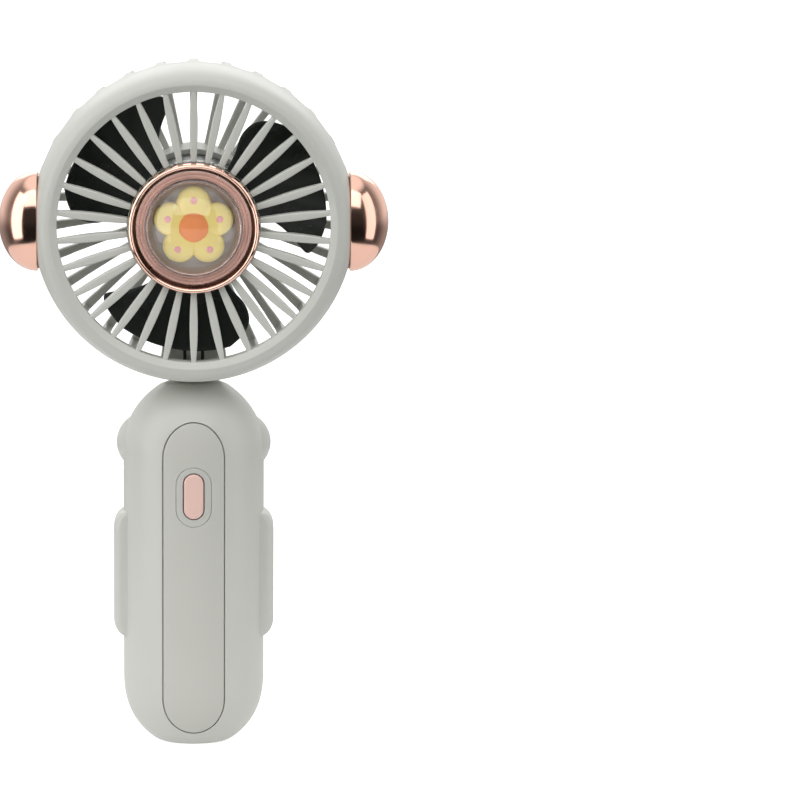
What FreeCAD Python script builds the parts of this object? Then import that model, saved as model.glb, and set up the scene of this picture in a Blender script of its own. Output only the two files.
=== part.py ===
import FreeCAD, Part
import math
import os
import re

# Pocket fan: a capsule handle that stands on a small flat foot, a round grilled head on a rear hinge,
# a three bladed impeller on a small motor, two plated ear caps and a clear dome over a flower in the hub.
#
# Frame: millimetres, +Z up, origin at the centre of the flat foot, the fan blows towards -Y.
# "depth" on the head is counted from the plane of the front rim, towards +Y.

V = FreeCAD.Vector
os.makedirs("parts", exist_ok=True)
doc = FreeCAD.newDocument("pocket_fan")

# ---------------------------------------------------------------- driving dimensions
SIZES = {
    # handle
    "handle_half_width": 20.45,
    "handle_half_depth": 16.5,
    "foot_half_width": 10.3,
    "foot_curve_height": 21.5,
    "dome_start": 87.0,
    "dome_apex": 109.34,
    "handle_top": 106.8,
    "shell_wall": 2.2,
    "panel_skin": 1.3,
    "panel_half_width": 8.8,
    "panel_low": 4.3,
    "panel_high": 96.7,
    "panel_end_length": 10.5,
    "panel_gap": 0.3,
    "bezel_half_width": 5.1,
    "bezel_half_height": 8.75,
    "bezel_mid": 75.15,
    "button_half_width": 2.83,
    "button_half_height": 6.6,
    "button_mid": 75.4,
    "button_front": 16.95,
    "button_gap": 0.3,
    "button_travel": 0.5,
    "pad_low": 31.0,
    "pad_high": 69.0,
    "pad_half_depth": 5.5,
    "pad_reach": 23.3,
    "pad_corner": 5.0,
    "knuckle_radius": 7.3,
    "knuckle_reach": 22.45,
    "knuckle_depth": 2.6,
    "knuckle_level": 88.0,
    # hinge
    "hinge_depth": 7.0,
    "hinge_level": 90.4,
    "barrel_radius": 6.05,
    "barrel_half_length": 6.0,
    "pin_radius": 1.5,
    "pin_length": 23.6,
    "pin_clearance": 0.05,
    "slot_half_width": 6.45,
    "slot_bottom_centre": 85.5,
    "slot_front": 0.65,
    "parting_depth": 1.0,
    "washer_thick": 0.35,
    # screws
    "screw_offset": 13.9,
    "screw_level": 87.7,
    "screw_head_radius": 2.2,
    "screw_shank_radius": 1.05,
    "screw_recess_radius": 2.7,
    "screw_floor": 4.0,
    # inside the handle
    "cell_radius": 9.2,
    "cell_length": 65.0,
    "cell_low": 11.6,
    "cell_depth": 3.5,
    "board_half_width": 6.5,
    "board_low": 5.0,
    "board_high": 85.5,
    "board_front": 8.2,
    "board_thick": 1.2,
    "switch_half": 3.0,
    "switch_tall": 3.4,
    "plunger_radius": 1.7,
    "port_half_width": 4.5,
    "port_tall": 3.2,
    "port_length": 7.4,
    # head
    "head_level": 154.8,
    "head_front": -19.5,
    "casing_radius": 46.5,
    "casing_wall": 1.8,
    "casing_seam": 10.5,
    "rim_ridge_radius": 41.4,
    "rim_bevel_depth": 0.85,
    "rim_inner_radius": 39.4,
    "duct_wall": 1.1,
    "duct_depth": 12.0,
    "duct_rear_radius": 40.7,
    "duct_flare_depth": 4.3,
    "rim_thick": 2.8,
    "collar_radius": 19.3,
    "collar_wall": 0.85,
    "collar_depth": 6.2,
    "bar_front": 1.0,
    "bar_deep": 3.0,
    "bar_inner_half": 0.8,
    "bar_mid_half": 1.2,
    "bar_outer_half": 0.66,
    "bars_round": 30,
    # cage
    "bar_thick": 3.0,
    "neck_plug": 43.9,
    "cage_bar_width": 2.6,
    "band_inner": 43.3,
    "lip_front": 7.6,
    "band_end": 13.6,
    "hub_radius": 19.4,
    "hub_back": 36.6,
    "hub_wall": 1.5,
    "hub_floor": 2.0,
    "cover_radius": 17.2,
    "cover_thick": 0.7,
    "arm_reach": 46.7,
    "arm_half_low": 10.2,
    "arm_half_high": 5.2,
    # ears
    "ear_seat": 45.0,
    "ear_base": 45.2,
    "ear_reach": 56.3,
    "ear_half_height": 14.6,
    "ear_half_depth": 10.5,
    "ear_mid_depth": 13.0,
    "ear_wall": 1.5,
    # hub ornament
    "trim_outer": 18.4,
    "trim_inner": 17.25,
    "trim_front": 1.6,
    "lens_radius": 14.15,
    "lens_rise": 7.6,
    "lens_wall": 1.2,
    "flower_reach": 11.6,
    # motor and impeller
    "motor_radius": 12.2,
    "motor_front": 19.5,
    "motor_back": 32.6,
    "shaft_radius": 1.0,
    "shaft_front": 11.2,
    "shaft_back": 33.2,
    "impeller_hub": 18.0,
    "impeller_front": 10.6,
    "impeller_back": 21.2,
    "blade_tip": 38.5,
    "blade_count": 3,
    "blade_thick": 1.2,
}
sheet = doc.addObject("Spreadsheet::Sheet", "Sizes")
sheet.Label = "Sizes"
for row, (word, value) in enumerate(SIZES.items(), start=1):
    sheet.set("A%d" % row, word)
    sheet.set("B%d" % row, repr(float(value)))
    sheet.setAlias("B%d" % row, word)
doc.recompute()


def q(word):
    return float(sheet.get(word))


WORD = re.compile(r"\b([a-z]+(?:_[a-z]+)+)\b")


def bind(text):
    """A formula in sheet words, such as 'hub_back - hub_floor', as an expression on the sheet."""
    return WORD.sub(lambda m: "Sizes." + m.group(1), text)


def number(text):
    return float(worth_of(text))


def worth_of(text):
    """Value of a formula made of sheet words, numbers, + - * / and brackets."""
    tokens = re.findall(r"[a-z]+(?:_[a-z]+)+|\d+\.?\d*|[-+*/()]", text)
    place = [0]

    def peek():
        return tokens[place[0]] if place[0] < len(tokens) else None

    def take():
        place[0] += 1
        return tokens[place[0] - 1]

    def atom():
        t = take()
        if t == "(":
            v = total()
            take()
            return v
        if t == "-":
            return -atom()
        if t[0].isdigit():
            return float(t)
        return q(t)

    def product():
        v = atom()
        while peek() in ("*", "/"):
            v = v * atom() if take() == "*" else v / atom()
        return v

    def total():
        v = product()
        while peek() in ("+", "-"):
            v = v + product() if take() == "+" else v - product()
        return v

    return total()


parts = []  # the sub-parts, each with the label that names its file


def keep(obj, label):
    obj.Label = label
    parts.append(obj)
    return obj


# ---------------------------------------------------------------- PartDesign helpers
def plane_of(body, role):
    return next(f for f in body.Origin.OriginFeatures if f.Role == role)


def new_body(label):
    return doc.addObject("PartDesign::Body", label + "_body")


def new_sketch(body, role, name, lift=None):
    sk = body.newObject("Sketcher::SketchObject", name)
    sk.AttachmentSupport = [(plane_of(body, role), "")]
    sk.MapMode = "FlatFace"
    if lift:
        sk.setExpression("AttachmentOffset.Base.z", bind(lift))
    return sk


def outline(sk, points):
    """Closed outline. Corners are pairs of formulas, each corner held by the sheet.
    A corner with two more formulas starts an arc that passes through that further point."""
    import Sketcher

    n = len(points)
    xy = [(number(p[0]), number(p[1])) for p in points]
    ends = []
    radii = []
    for i, p in enumerate(points):
        a, b = xy[i], xy[(i + 1) % n]
        if len(p) == 2:
            sk.addGeometry(Part.LineSegment(V(a[0], a[1], 0), V(b[0], b[1], 0)), False)
            ends.append((1, 2))
            continue
        m = (number(p[2]), number(p[3]))
        d = 2 * (a[0] * (m[1] - b[1]) + m[0] * (b[1] - a[1]) + b[0] * (a[1] - m[1]))
        sa, sm, sb = (u[0] ** 2 + u[1] ** 2 for u in (a, m, b))
        cx = (sa * (m[1] - b[1]) + sm * (b[1] - a[1]) + sb * (a[1] - m[1])) / d
        cy = (sa * (b[0] - m[0]) + sm * (a[0] - b[0]) + sb * (m[0] - a[0])) / d
        r = math.hypot(a[0] - cx, a[1] - cy)
        ta, tb = math.atan2(a[1] - cy, a[0] - cx), math.atan2(b[1] - cy, b[0] - cx)
        ahead = (m[0] - a[0]) * (b[1] - a[1]) - (m[1] - a[1]) * (b[0] - a[0]) > 0
        lo, hi = (ta, tb) if ahead else (tb, ta)
        if hi < lo:
            hi += 2 * math.pi
        sk.addGeometry(Part.ArcOfCircle(Part.Circle(V(cx, cy, 0), V(0, 0, 1), r), lo, hi), False)
        ends.append((1, 2) if ahead else (2, 1))
        radii.append((i, r))
    for i in range(n):
        sk.addConstraint(Sketcher.Constraint("Coincident", i, ends[i][1], (i + 1) % n, ends[(i + 1) % n][0]))
    for i, r in radii:
        sk.addConstraint(Sketcher.Constraint("Radius", i, r))
    for i, p in enumerate(points):
        for kind, axis, text, value in (
            ("DistanceX", -2, p[0], xy[i][0]),
            ("DistanceY", -1, p[1], xy[i][1]),
        ):
            if abs(value) < 1e-9:
                sk.addConstraint(Sketcher.Constraint("PointOnObject", i, ends[i][0], axis))
                continue
            c = sk.addConstraint(Sketcher.Constraint(kind, -1, 1, i, ends[i][0], value))
            sk.setExpression("Constraints[%d]" % c, bind(text))


def circle(sk, x, y, radius):
    import Sketcher

    g = sk.addGeometry(Part.Circle(V(number(x), number(y), 0), V(0, 0, 1), number(radius)), False)
    c = sk.addConstraint(Sketcher.Constraint("Radius", g, number(radius)))
    sk.setExpression("Constraints[%d]" % c, bind(radius))
    for kind, axis, text in (("DistanceX", -2, x), ("DistanceY", -1, y)):
        if abs(number(text)) < 1e-9:
            sk.addConstraint(Sketcher.Constraint("PointOnObject", g, 3, axis))
        else:
            c = sk.addConstraint(Sketcher.Constraint(kind, -1, 1, g, 3, number(text)))
            sk.setExpression("Constraints[%d]" % c, bind(text))


def place(body, x="0", y="0", z="0"):
    for axis, text in (("x", x), ("y", y), ("z", z)):
        if text != "0":
            body.setExpression("Placement.Base." + axis, bind(text))


def revolve(body, sk, groove=False):
    f = body.newObject("PartDesign::Groove" if groove else "PartDesign::Revolution", sk.Name + "_turn")
    f.Profile = sk
    f.ReferenceAxis = (sk, ["V_Axis"])
    f.Angle = 360.0
    sk.Visibility = False
    return f


def pad(body, sk, length, reverse=False, mid=False, cut=False):
    f = body.newObject("PartDesign::Pocket" if cut else "PartDesign::Pad", sk.Name + ("_cut" if cut else "_pad"))
    f.Profile = sk
    f.setExpression("Length", bind(length))
    f.Reversed = reverse
    f.Midplane = mid
    return f


def turned(label, points, at_head=True):
    """A turned piece: outline in (radius, depth), turned about the depth axis, carried to the head's centre."""
    body = new_body(label)
    sk = new_sketch(body, "XY_Plane", label + "_profile")
    outline(sk, points)
    revolve(body, sk)
    if at_head:
        place(body, y="head_front", z="head_level")
    return keep(body, label)


def polar(body, feature, count, angle, reverse=False):
    p = body.newObject("PartDesign::PolarPattern", feature.Name + "_ring")
    p.Originals = [feature]
    p.Axis = (plane_of(body, "Y_Axis"), [""])
    p.Angle = angle
    p.Occurrences = count
    p.Reversed = reverse
    body.Tip = p
    return p


# ---------------------------------------------------------------- helpers for free shapes
def feature(shape, label):
    f = doc.addObject("Part::Feature", label + "_shape")
    f.Shape = shape
    return keep(f, label)


def polygon_face(points):
    pts = [V(*p) for p in points]
    return Part.Face(Part.makePolygon(pts + [pts[0]]))


def box(x0, x1, y0, y1, z0, z1):
    return Part.makeBox(x1 - x0, y1 - y0, z1 - z0, V(x0, y0, z0))


def stadium(half_width, half_height, x, z, y0, y1):
    """A prism along Y with round ends above and below."""
    r = half_width
    straight = half_height - r
    s = box(x - r, x + r, y0, y1, z - straight, z + straight)
    for dz in (-straight, straight):
        s = s.fuse(Part.makeCylinder(r, y1 - y0, V(x, y0, z + dz), V(0, 1, 0)))
    return s.removeSplitter()


# ---------------------------------------------------------------- handle: the outer form
HW, HD = q("handle_half_width"), q("handle_half_depth")


def half_width(z):
    foot, rise = q("foot_half_width"), q("foot_curve_height")
    z1, z2 = q("dome_start"), q("dome_apex")
    if z < rise:
        return foot + (HW - foot) * (1 - (1 - z / rise) ** 2.768) ** (1 / 1.2)
    if z > z1:
        return HW * (1 - ((z - z1) / (z2 - z1)) ** 2.076) ** (1 / 1.536)
    return HW


levels = [0, 0.45, 1.2, 2.4, 4.0, 6.0, 8.5, 11.5, 15.0, 18.5, 21.5, 30, 45, 60, 75, 87, 90, 93, 96, 98.5, 100.7, 102.6, 104.2, 105.4]
profile = [(half_width(z), z) for z in levels] + [(6.6, 106.35), (3.2, 106.72)]


def oval_solid(inset):
    """The handle's form moved inwards by inset, as an oval turned solid."""
    pts = []
    full = profile + [(0.0, q("handle_top"))]
    for i, (r, z) in enumerate(full):
        a = full[max(i - 1, 0)]
        b = full[min(i + 1, len(full) - 1)]
        dr, dz = b[0] - a[0], b[1] - a[1]
        n = math.hypot(dr, dz)
        nr, nz = -dz / n, dr / n  # inward normal
        if i == len(full) - 1:
            nr, nz = 0.0, -1.0
        pts.append((r + inset * nr, z + inset * nz))
    if inset:
        low = inset
        pts = [p for p in pts if p[1] > low + 0.3 and p[0] >= 0]
        # foot of the cavity: a flat at the wall's height
        first = pts[0]
        pts = [(first[0] - 0.9, low)] + pts
        pts[-1] = (0.0, q("handle_top") - inset)
    else:
        pts[-1] = (0.0, q("handle_top"))
        pts = [(pts[0][0] - 1.3, -0.6)] + pts
    curve = Part.BSplineCurve()
    curve.interpolate([V(r, 0, z) for r, z in pts])
    top, bottom = V(0, 0, pts[-1][1]), V(0, 0, pts[0][1])
    edges = [curve.toShape(), Part.makeLine(top, bottom), Part.makeLine(bottom, V(pts[0][0], 0, pts[0][1]))]
    solid = Part.Face(Part.Wire(edges)).revolve(V(0, 0, 0), V(0, 0, 1), 360)
    m = FreeCAD.Matrix()
    m.scale(1, (HD - inset) / (HW - inset), 1)
    turned_oval = solid.transformGeometry(m)
    if inset:
        return turned_oval
    return turned_oval.common(box(-40, 40, -40, 40, 0, 120))  # a true plane for the foot


outer = oval_solid(0.0)
inner = oval_solid(q("shell_wall"))
skin = oval_solid(q("panel_skin"))
shell = outer.cut(inner)
PART = -q("parting_depth")
front_half = box(-40, 40, -40, PART, -5, 120)
rear_half = box(-40, 40, PART, 40, -5, 120)


def panel_prism(grow):
    """The long capsule outline of the front panel, as a prism along Y, with elliptic ends."""
    w = q("panel_half_width") + grow
    e = q("panel_end_length") + grow
    lo, hi = q("panel_low") - grow, q("panel_high") + grow
    zt, zb = hi - e, lo + e
    y = -30
    top = Part.ArcOfEllipse(Part.Ellipse(V(0, y, zt + e), V(w, y, zt), V(0, y, zt)), 0, 2 * math.pi)

    def arc(zc, sign):
        pts = []
        for i in range(0, 25):
            t = math.pi * i / 24
            pts.append(V(sign * w * math.cos(t), y, zc + sign * e * math.sin(t)))
        c = Part.BSplineCurve()
        c.interpolate(pts)
        return c.toShape()

    del top
    wire = Part.Wire(
        [
            arc(zt, 1),
            Part.makeLine(V(-w, y, zt), V(-w, y, zb)),
            arc(zb, -1),
            Part.makeLine(V(w, y, zb), V(w, y, zt)),
        ]
    )
    return Part.Face(wire).extrude(V(0, 30, 0))


layer = outer.cut(skin)  # the outermost skin of the handle

# bosses in the front shell that carry the board, and the two screw posts
bosses = []
for bx, bz in ((-4.6, 14.0), (4.6, 14.0), (-4.6, 50.0), (4.6, 50.0)):
    bosses.append(Part.makeCylinder(1.7, 20, V(bx, -20, bz), V(0, 1, 0)).common(box(-30, 30, -30, -q("board_front"), 0, 110)))
for side in (-1, 1):
    x = side * q("screw_offset")
    bosses.append(Part.makeCylinder(2.7, 20, V(x, -20, q("screw_level")), V(0, 1, 0)))

front = shell.common(front_half)
for b in bosses:
    front = front.fuse(b.common(outer).common(front_half))
for side in (-1, 1):
    x = side * q("screw_offset")
    front = front.cut(Part.makeCylinder(q("screw_shank_radius"), 9.0, V(x, -8.5, q("screw_level")), V(0, 1, 0)))
front = front.cut(panel_prism(q("panel_gap")).common(layer))
gap = q("button_gap")
button_hole = stadium(q("button_half_width") + gap, q("button_half_height") + gap, 0, q("button_mid"), -30, -5)
front = front.cut(button_hole)
port_mid = -(q("board_front") - q("board_thick")) + 0.05 + q("port_tall") / 2
port_hole = box(-q("port_half_width") - 0.25, q("port_half_width") + 0.25, port_mid - q("port_tall") / 2 - 0.2, port_mid + q("port_tall") / 2 + 0.2, -1, 4.5)
front = front.cut(port_hole)
feature(front, "handle_front_shell")

panel = panel_prism(0).common(layer)
panel = panel.cut(stadium(q("bezel_half_width") + 0.1, q("bezel_half_height") + 0.1, 0, q("bezel_mid"), -30, -5))
feature(panel, "front_panel")
bezel = stadium(q("bezel_half_width"), q("bezel_half_height"), 0, q("bezel_mid"), -30, -5).common(layer).cut(button_hole)
feature(bezel, "button_bezel")

# rear shell: half form, a solid block round the hinge slot, and tubes over the screws
HY, HZ = q("hinge_depth"), q("hinge_level")
rear = shell.common(rear_half)
block = box(-12.2, 12.2, PART, 30, 77.6, 120).common(outer)
rear = rear.fuse(block)
for side in (-1, 1):
    x = side * q("screw_offset")
    rear = rear.fuse(Part.makeCylinder(3.6, 30, V(x, PART, q("screw_level")), V(0, 1, 0)).common(outer))
w = q("slot_half_width")
sy, sz = q("slot_front"), q("slot_bottom_centre")
slot = Part.Face(
    Part.Wire(
        [
            Part.Arc(V(-w, sy, sz), V(0, sy, sz - w), V(w, sy, sz)).toShape(),
            Part.makeLine(V(w, sy, sz), V(w, sy, 112)),
            Part.makeLine(V(w, sy, 112), V(-w, sy, 112)),
            Part.makeLine(V(-w, sy, 112), V(-w, sy, sz)),
        ]
    )
).extrude(V(0, 24.35, 0))
uncut = rear.Volume
rear = rear.cut(slot)
assert rear.Volume < uncut - 3000
rear = rear.cut(Part.makeCylinder(q("pin_radius"), 60, V(-30, HY, HZ), V(1, 0, 0)))
for side in (-1, 1):
    x = side * q("screw_offset")
    z = q("screw_level")
    rear = rear.cut(Part.makeCylinder(q("screw_recess_radius"), 30, V(x, q("screw_floor"), z), V(0, 1, 0)))
    rear = rear.cut(Part.makeCylinder(1.3, 30, V(x, PART - 1, z), V(0, 1, 0)))
for x in (-2.6, 2.6):
    rear = rear.cut(Part.makeCylinder(0.85, 4, V(x, PART - 1, 88.2), V(0, 1, 0)))
feature(rear, "handle_rear_shell")

screws = []
for side in (-1, 1):
    x, z = side * q("screw_offset"), q("screw_level")
    head = Part.makeCylinder(q("screw_head_radius"), 1.5, V(x, q("screw_floor"), z), V(0, 1, 0))
    for turn in (0, 90):
        slotbox = box(x - 1.4, x + 1.4, q("screw_floor") + 0.7, q("screw_floor") + 3, z - 0.3, z + 0.3)
        slotbox.rotate(V(x, 0, z), V(0, 1, 0), turn)
        head = head.cut(slotbox)
    shank = Part.makeCylinder(q("screw_shank_radius"), 11.5, V(x, -7.5, z), V(0, 1, 0))
    screws.append(head.fuse(shank))
feature(Part.makeCompound(screws), "handle_screws")

# side pads: rounded bars set on the handle's sides
for side, word in ((-1, "left"), (1, "right")):
    lo, hi, reach, c = q("pad_low"), q("pad_high"), q("pad_reach"), q("pad_corner")
    k = c * (1 - math.sqrt(0.5))
    s = side
    edges = [
        Part.makeLine(V(s * 12, 0, lo), V(s * (reach - c), 0, lo)),
        Part.Arc(V(s * (reach - c), 0, lo), V(s * (reach - k), 0, lo + k), V(s * reach, 0, lo + c)).toShape(),
        Part.makeLine(V(s * reach, 0, lo + c), V(s * reach, 0, hi - c)),
        Part.Arc(V(s * reach, 0, hi - c), V(s * (reach - k), 0, hi - k), V(s * (reach - c), 0, hi)).toShape(),
        Part.makeLine(V(s * (reach - c), 0, hi), V(s * 12, 0, hi)),
        Part.makeLine(V(s * 12, 0, hi), V(s * 12, 0, lo)),
    ]
    d = q("pad_half_depth")
    prism = Part.Face(Part.Wire(edges)).extrude(V(0, 2 * d, 0))
    prism.translate(V(0, -d, 0))
    c2 = 3.0
    k2 = c2 * (1 - math.sqrt(0.5))
    edges = [
        Part.makeLine(V(s * 12, -d, 0), V(s * (reach - c2), -d, 0)),
        Part.Arc(V(s * (reach - c2), -d, 0), V(s * (reach - k2), -d + k2, 0), V(s * reach, -d + c2, 0)).toShape(),
        Part.makeLine(V(s * reach, -d + c2, 0), V(s * reach, d - c2, 0)),
        Part.Arc(V(s * reach, d - c2, 0), V(s * (reach - k2), d - k2, 0), V(s * (reach - c2), d, 0)).toShape(),
        Part.makeLine(V(s * (reach - c2), d, 0), V(s * 12, d, 0)),
        Part.makeLine(V(s * 12, d, 0), V(s * 12, -d, 0)),
    ]
    across = Part.Face(Part.Wire(edges)).extrude(V(0, 0, 120))
    feature(prism.common(across).cut(outer), "side_pad_" + word)

# round caps over the ends of the hinge pin
for side, word in ((-1, "left"), (1, "right")):
    r, reach = q("knuckle_radius"), q("knuckle_reach")
    y, z = q("knuckle_depth"), q("knuckle_level")
    foot = 18.4
    n = 13
    pts = []
    for i in range(n):
        t = math.pi / 2 * i / (n - 1)
        pts.append(V(side * (foot + (reach - foot) * math.sin(t) ** 0.9), 0, r * math.cos(t) ** 0.9 if i < n - 1 else 0.0))
    curve = Part.BSplineCurve()
    curve.interpolate(pts)
    wire = Part.Wire(
        [
            curve.toShape(),
            Part.makeLine(pts[-1], V(side * 12, 0, 0)),
            Part.makeLine(V(side * 12, 0, 0), V(side * 12, 0, r)),
            Part.makeLine(V(side * 12, 0, r), pts[0]),
        ]
    )
    cap = Part.Face(wire).revolve(V(0, 0, 0), V(1, 0, 0), 360)
    cap.translate(V(0, y, z))
    feature(cap.cut(outer), "hinge_cap_" + word)

# hinge pin and two friction washers beside the barrel
pin = doc.addObject("Part::Cylinder", "hinge_pin_rod")
pin.setExpression("Radius", "Sizes.pin_radius")
pin.setExpression("Height", "Sizes.pin_length")
pin.Placement = FreeCAD.Placement(V(-q("pin_length") / 2, HY, HZ), FreeCAD.Rotation(V(0, 1, 0), 90))
keep(pin, "hinge_pin")
washers = []
for side in (-1, 1):
    x0 = q("barrel_half_length") + 0.04
    x1 = x0 + q("washer_thick")
    a, b = sorted((side * x0, side * x1))
    ring = Part.makeCylinder(4.6, b - a, V(a, HY, HZ), V(1, 0, 0)).cut(
        Part.makeCylinder(q("pin_radius") + 0.03, b - a, V(a, HY, HZ), V(1, 0, 0))
    )
    washers.append(ring)
feature(Part.makeCompound(washers), "friction_washers")

# ---------------------------------------------------------------- inside the handle
cell = doc.addObject("Part::Cylinder", "battery_can")
cell.setExpression("Radius", "Sizes.cell_radius")
cell.setExpression("Height", "Sizes.cell_length")
cell.setExpression("Placement.Base.y", "Sizes.cell_depth")
cell.setExpression("Placement.Base.z", "Sizes.cell_low")
keep(cell, "battery_cell")
tabs = [
    box(-3, 3, -6.8, 8.5, q("cell_low") + q("cell_length") + 0.02, q("cell_low") + q("cell_length") + 0.22),
    box(-3, 3, -6.8, 8.5, q("cell_low") - 0.22, q("cell_low") - 0.02),
]
feature(Part.makeCompound(tabs), "battery_tabs")

board = doc.addObject("Part::Box", "board_plate")
board.setExpression("Length", "2 * Sizes.board_half_width")
board.setExpression("Width", "Sizes.board_thick")
board.setExpression("Height", "Sizes.board_high - Sizes.board_low")
board.setExpression("Placement.Base.x", "-Sizes.board_half_width")
board.setExpression("Placement.Base.y", "-Sizes.board_front")
board.setExpression("Placement.Base.z", "Sizes.board_low")
keep(board, "circuit_board")

# small square switch with a hollow nose that its plunger slides in
case = doc.addObject("Part::Box", "switch_case")
case.setExpression("Length", "2 * Sizes.switch_half")
case.setExpression("Width", "Sizes.switch_tall")
case.setExpression("Height", "2 * Sizes.switch_half")
case.setExpression("Placement.Base.x", "-Sizes.switch_half")
case.setExpression("Placement.Base.y", "-Sizes.board_front - Sizes.switch_tall")
case.setExpression("Placement.Base.z", "Sizes.button_mid - Sizes.switch_half")
nose = doc.addObject("Part::Cylinder", "switch_bore")
nose.setExpression("Radius", "Sizes.plunger_radius + 0.06")
nose.Height = 2.4
nose.Placement = FreeCAD.Placement(V(0, -q("board_front") - q("switch_tall") - 0.3, q("button_mid")), FreeCAD.Rotation(V(1, 0, 0), -90))
switch = doc.addObject("Part::Cut", "switch_hollow")
switch.Base = case
switch.Tool = nose
keep(switch, "tact_switch")

flange_back = 12.75
plunger = doc.addObject("Part::Cylinder", "plunger_rod")
plunger.setExpression("Radius", "Sizes.plunger_radius")
plunger.Height = flange_back - 0.02 - (q("board_front") + q("switch_tall")) + 1.2
plunger.Placement = FreeCAD.Placement(V(0, -flange_back + 0.02, q("button_mid")), FreeCAD.Rotation(V(1, 0, 0), -90))
keep(plunger, "switch_plunger")

# push button: oval cap with a crowned front, and a flange that keeps it in
cap = stadium(q("button_half_width"), q("button_half_height"), 0, q("button_mid"), -q("button_front"), -13.0)
front_edges = [e for e in cap.Edges if all(abs(v.Point.y + q("button_front")) < 1e-6 for v in e.Vertexes)]
cap = cap.makeFillet(0.5, front_edges)
flange = stadium(3.7, 7.5, 0, q("button_mid"), -13.6, -flange_back)
feature(cap.fuse(flange).removeSplitter(), "power_button")

# charging port in the foot: a thin metal shell with its tongue
pw, pt = q("port_half_width"), q("port_tall")
tube = box(-pw, pw, port_mid - pt / 2, port_mid + pt / 2, 0.5, 0.5 + q("port_length"))
hollow = box(-pw + 0.35, pw - 0.35, port_mid - pt / 2 + 0.35, port_mid + pt / 2 - 0.35, 0.4, q("port_length"))
tongue = box(-3.2, 3.2, port_mid - 0.35, port_mid + 0.35, 1.2, q("port_length") + 0.2)
feature(tube.cut(hollow).fuse(tongue), "usb_port")

lights = [box(x - 0.8, x + 0.8, -q("board_front") - 0.7, -q("board_front"), 63.2, 64.2) for x in (-3.0, 0.0, 3.0)]
feature(Part.makeCompound(lights), "status_lights")


def tube_along(points, radius):
    """A tube along straight runs joined by tangent arcs."""
    pts = [V(*p) for p in points]
    edges, last = [], pts[0]
    for i in range(1, len(pts) - 1):
        a, b, c = pts[i - 1], pts[i], pts[i + 1]
        u, w2 = (a - b), (c - b)
        la, lc = u.Length, w2.Length
        u.normalize()
        w2.normalize()
        turn = math.pi - u.getAngle(w2)
        r = 0.45 * min(la, lc) / math.tan(turn / 2)
        t = 0.45 * min(la, lc)
        p1, p2 = b + u * t, b + w2 * t
        mid_dir = u + w2
        mid_dir.normalize()
        centre = b + mid_dir * (r / math.cos(turn / 2))
        m = centre - mid_dir * r
        edges.append(Part.makeLine(last, p1))
        edges.append(Part.Arc(p1, m, p2).toShape())
        last = p2
    edges.append(Part.makeLine(last, pts[-1]))
    path = Part.Wire(edges)
    d = pts[1] - pts[0]
    ring = Part.Wire(Part.makeCircle(radius, pts[0], d))
    solid = path.makePipeShell([ring], True, False)
    length = path.Length
    assert abs(solid.Volume / (math.pi * radius ** 2 * length) - 1) < 0.05
    return solid


leads = [tube_along([(x, -6.4, 80.0), (x, -4.0, 80.6), (x, -3.4, 84.4), (x, -2.9, 88.2), (x, 0.3, 88.2)], 0.5) for x in (-2.6, 2.6)]
feature(Part.makeCompound(leads), "handle_leads")

# ---------------------------------------------------------------- head: front casing
body = new_body("front_casing")
sk = new_sketch(body, "XY_Plane", "casing_profile")
outline(
    sk,
    [
        ("rim_inner_radius", "rim_bevel_depth"),
        ("rim_ridge_radius", "0"),
        ("rim_ridge_radius + 0.3", "0", "casing_radius - 2.45", "1.3"),
        ("casing_radius - 1.4", "3.8", "casing_radius - 0.45", "7.2"),
        ("casing_radius", "casing_seam"),
        ("casing_radius - casing_wall", "casing_seam"),
        ("casing_radius - casing_wall", "5.2"),
        ("casing_radius - casing_wall - 1.6", "rim_thick"),
        ("rim_inner_radius + duct_wall", "rim_thick"),
        ("rim_inner_radius + duct_wall", "duct_flare_depth"),
        ("duct_rear_radius + duct_wall", "duct_depth"),
        ("duct_rear_radius", "duct_depth"),
        ("rim_inner_radius", "duct_flare_depth"),
    ],
)
revolve(body, sk)
sk = new_sketch(body, "XZ_Plane", "post_outline", "-rim_thick + 0.4")
circle(sk, "0", "rim_inner_radius + duct_wall + 1.45", "1.1")
post = pad(body, sk, "5.0", reverse=True)
doc.recompute()
polar(body, post, 6, 360.0)
oval = []
for i in range(28):
    t = 2 * math.pi * i / 28
    oval.append(
        (
            "ear_mid_depth + %.5f * (ear_half_depth + 0.45)" % math.cos(t) if math.cos(t) >= 0 else "ear_mid_depth - %.5f * (ear_half_depth + 0.45)" % -math.cos(t),
            "%.5f * (ear_half_height + 0.45)" % math.sin(t) if math.sin(t) >= 0 else "-%.5f * (ear_half_height + 0.45)" % -math.sin(t),
        )
    )
for word, lift, outward in (("right", "ear_seat", True), ("left", "-ear_seat", False)):
    sk = new_sketch(body, "YZ_Plane", "ear_flat_" + word, lift)
    outline(sk, oval)
    pad(body, sk, "6", reverse=outward, cut=True)
place(body, y="head_front", z="head_level")
keep(body, "front_casing")

# front hub plate: the floor behind the ornament, with a low wall round it
body = new_body("front_hub_plate")
sk = new_sketch(body, "XY_Plane", "plate_profile")
outline(
    sk,
    [
        ("0", "collar_depth - 1.1"),
        ("collar_radius - collar_wall", "collar_depth - 1.1"),
        ("collar_radius - collar_wall", "bar_front + bar_deep + 0.02"),
        ("collar_radius", "bar_front + bar_deep + 0.02"),
        ("collar_radius", "collar_depth"),
        ("0", "collar_depth"),
    ],
)
revolve(body, sk)
place(body, y="head_front", z="head_level")
keep(body, "front_hub_plate")

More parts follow.
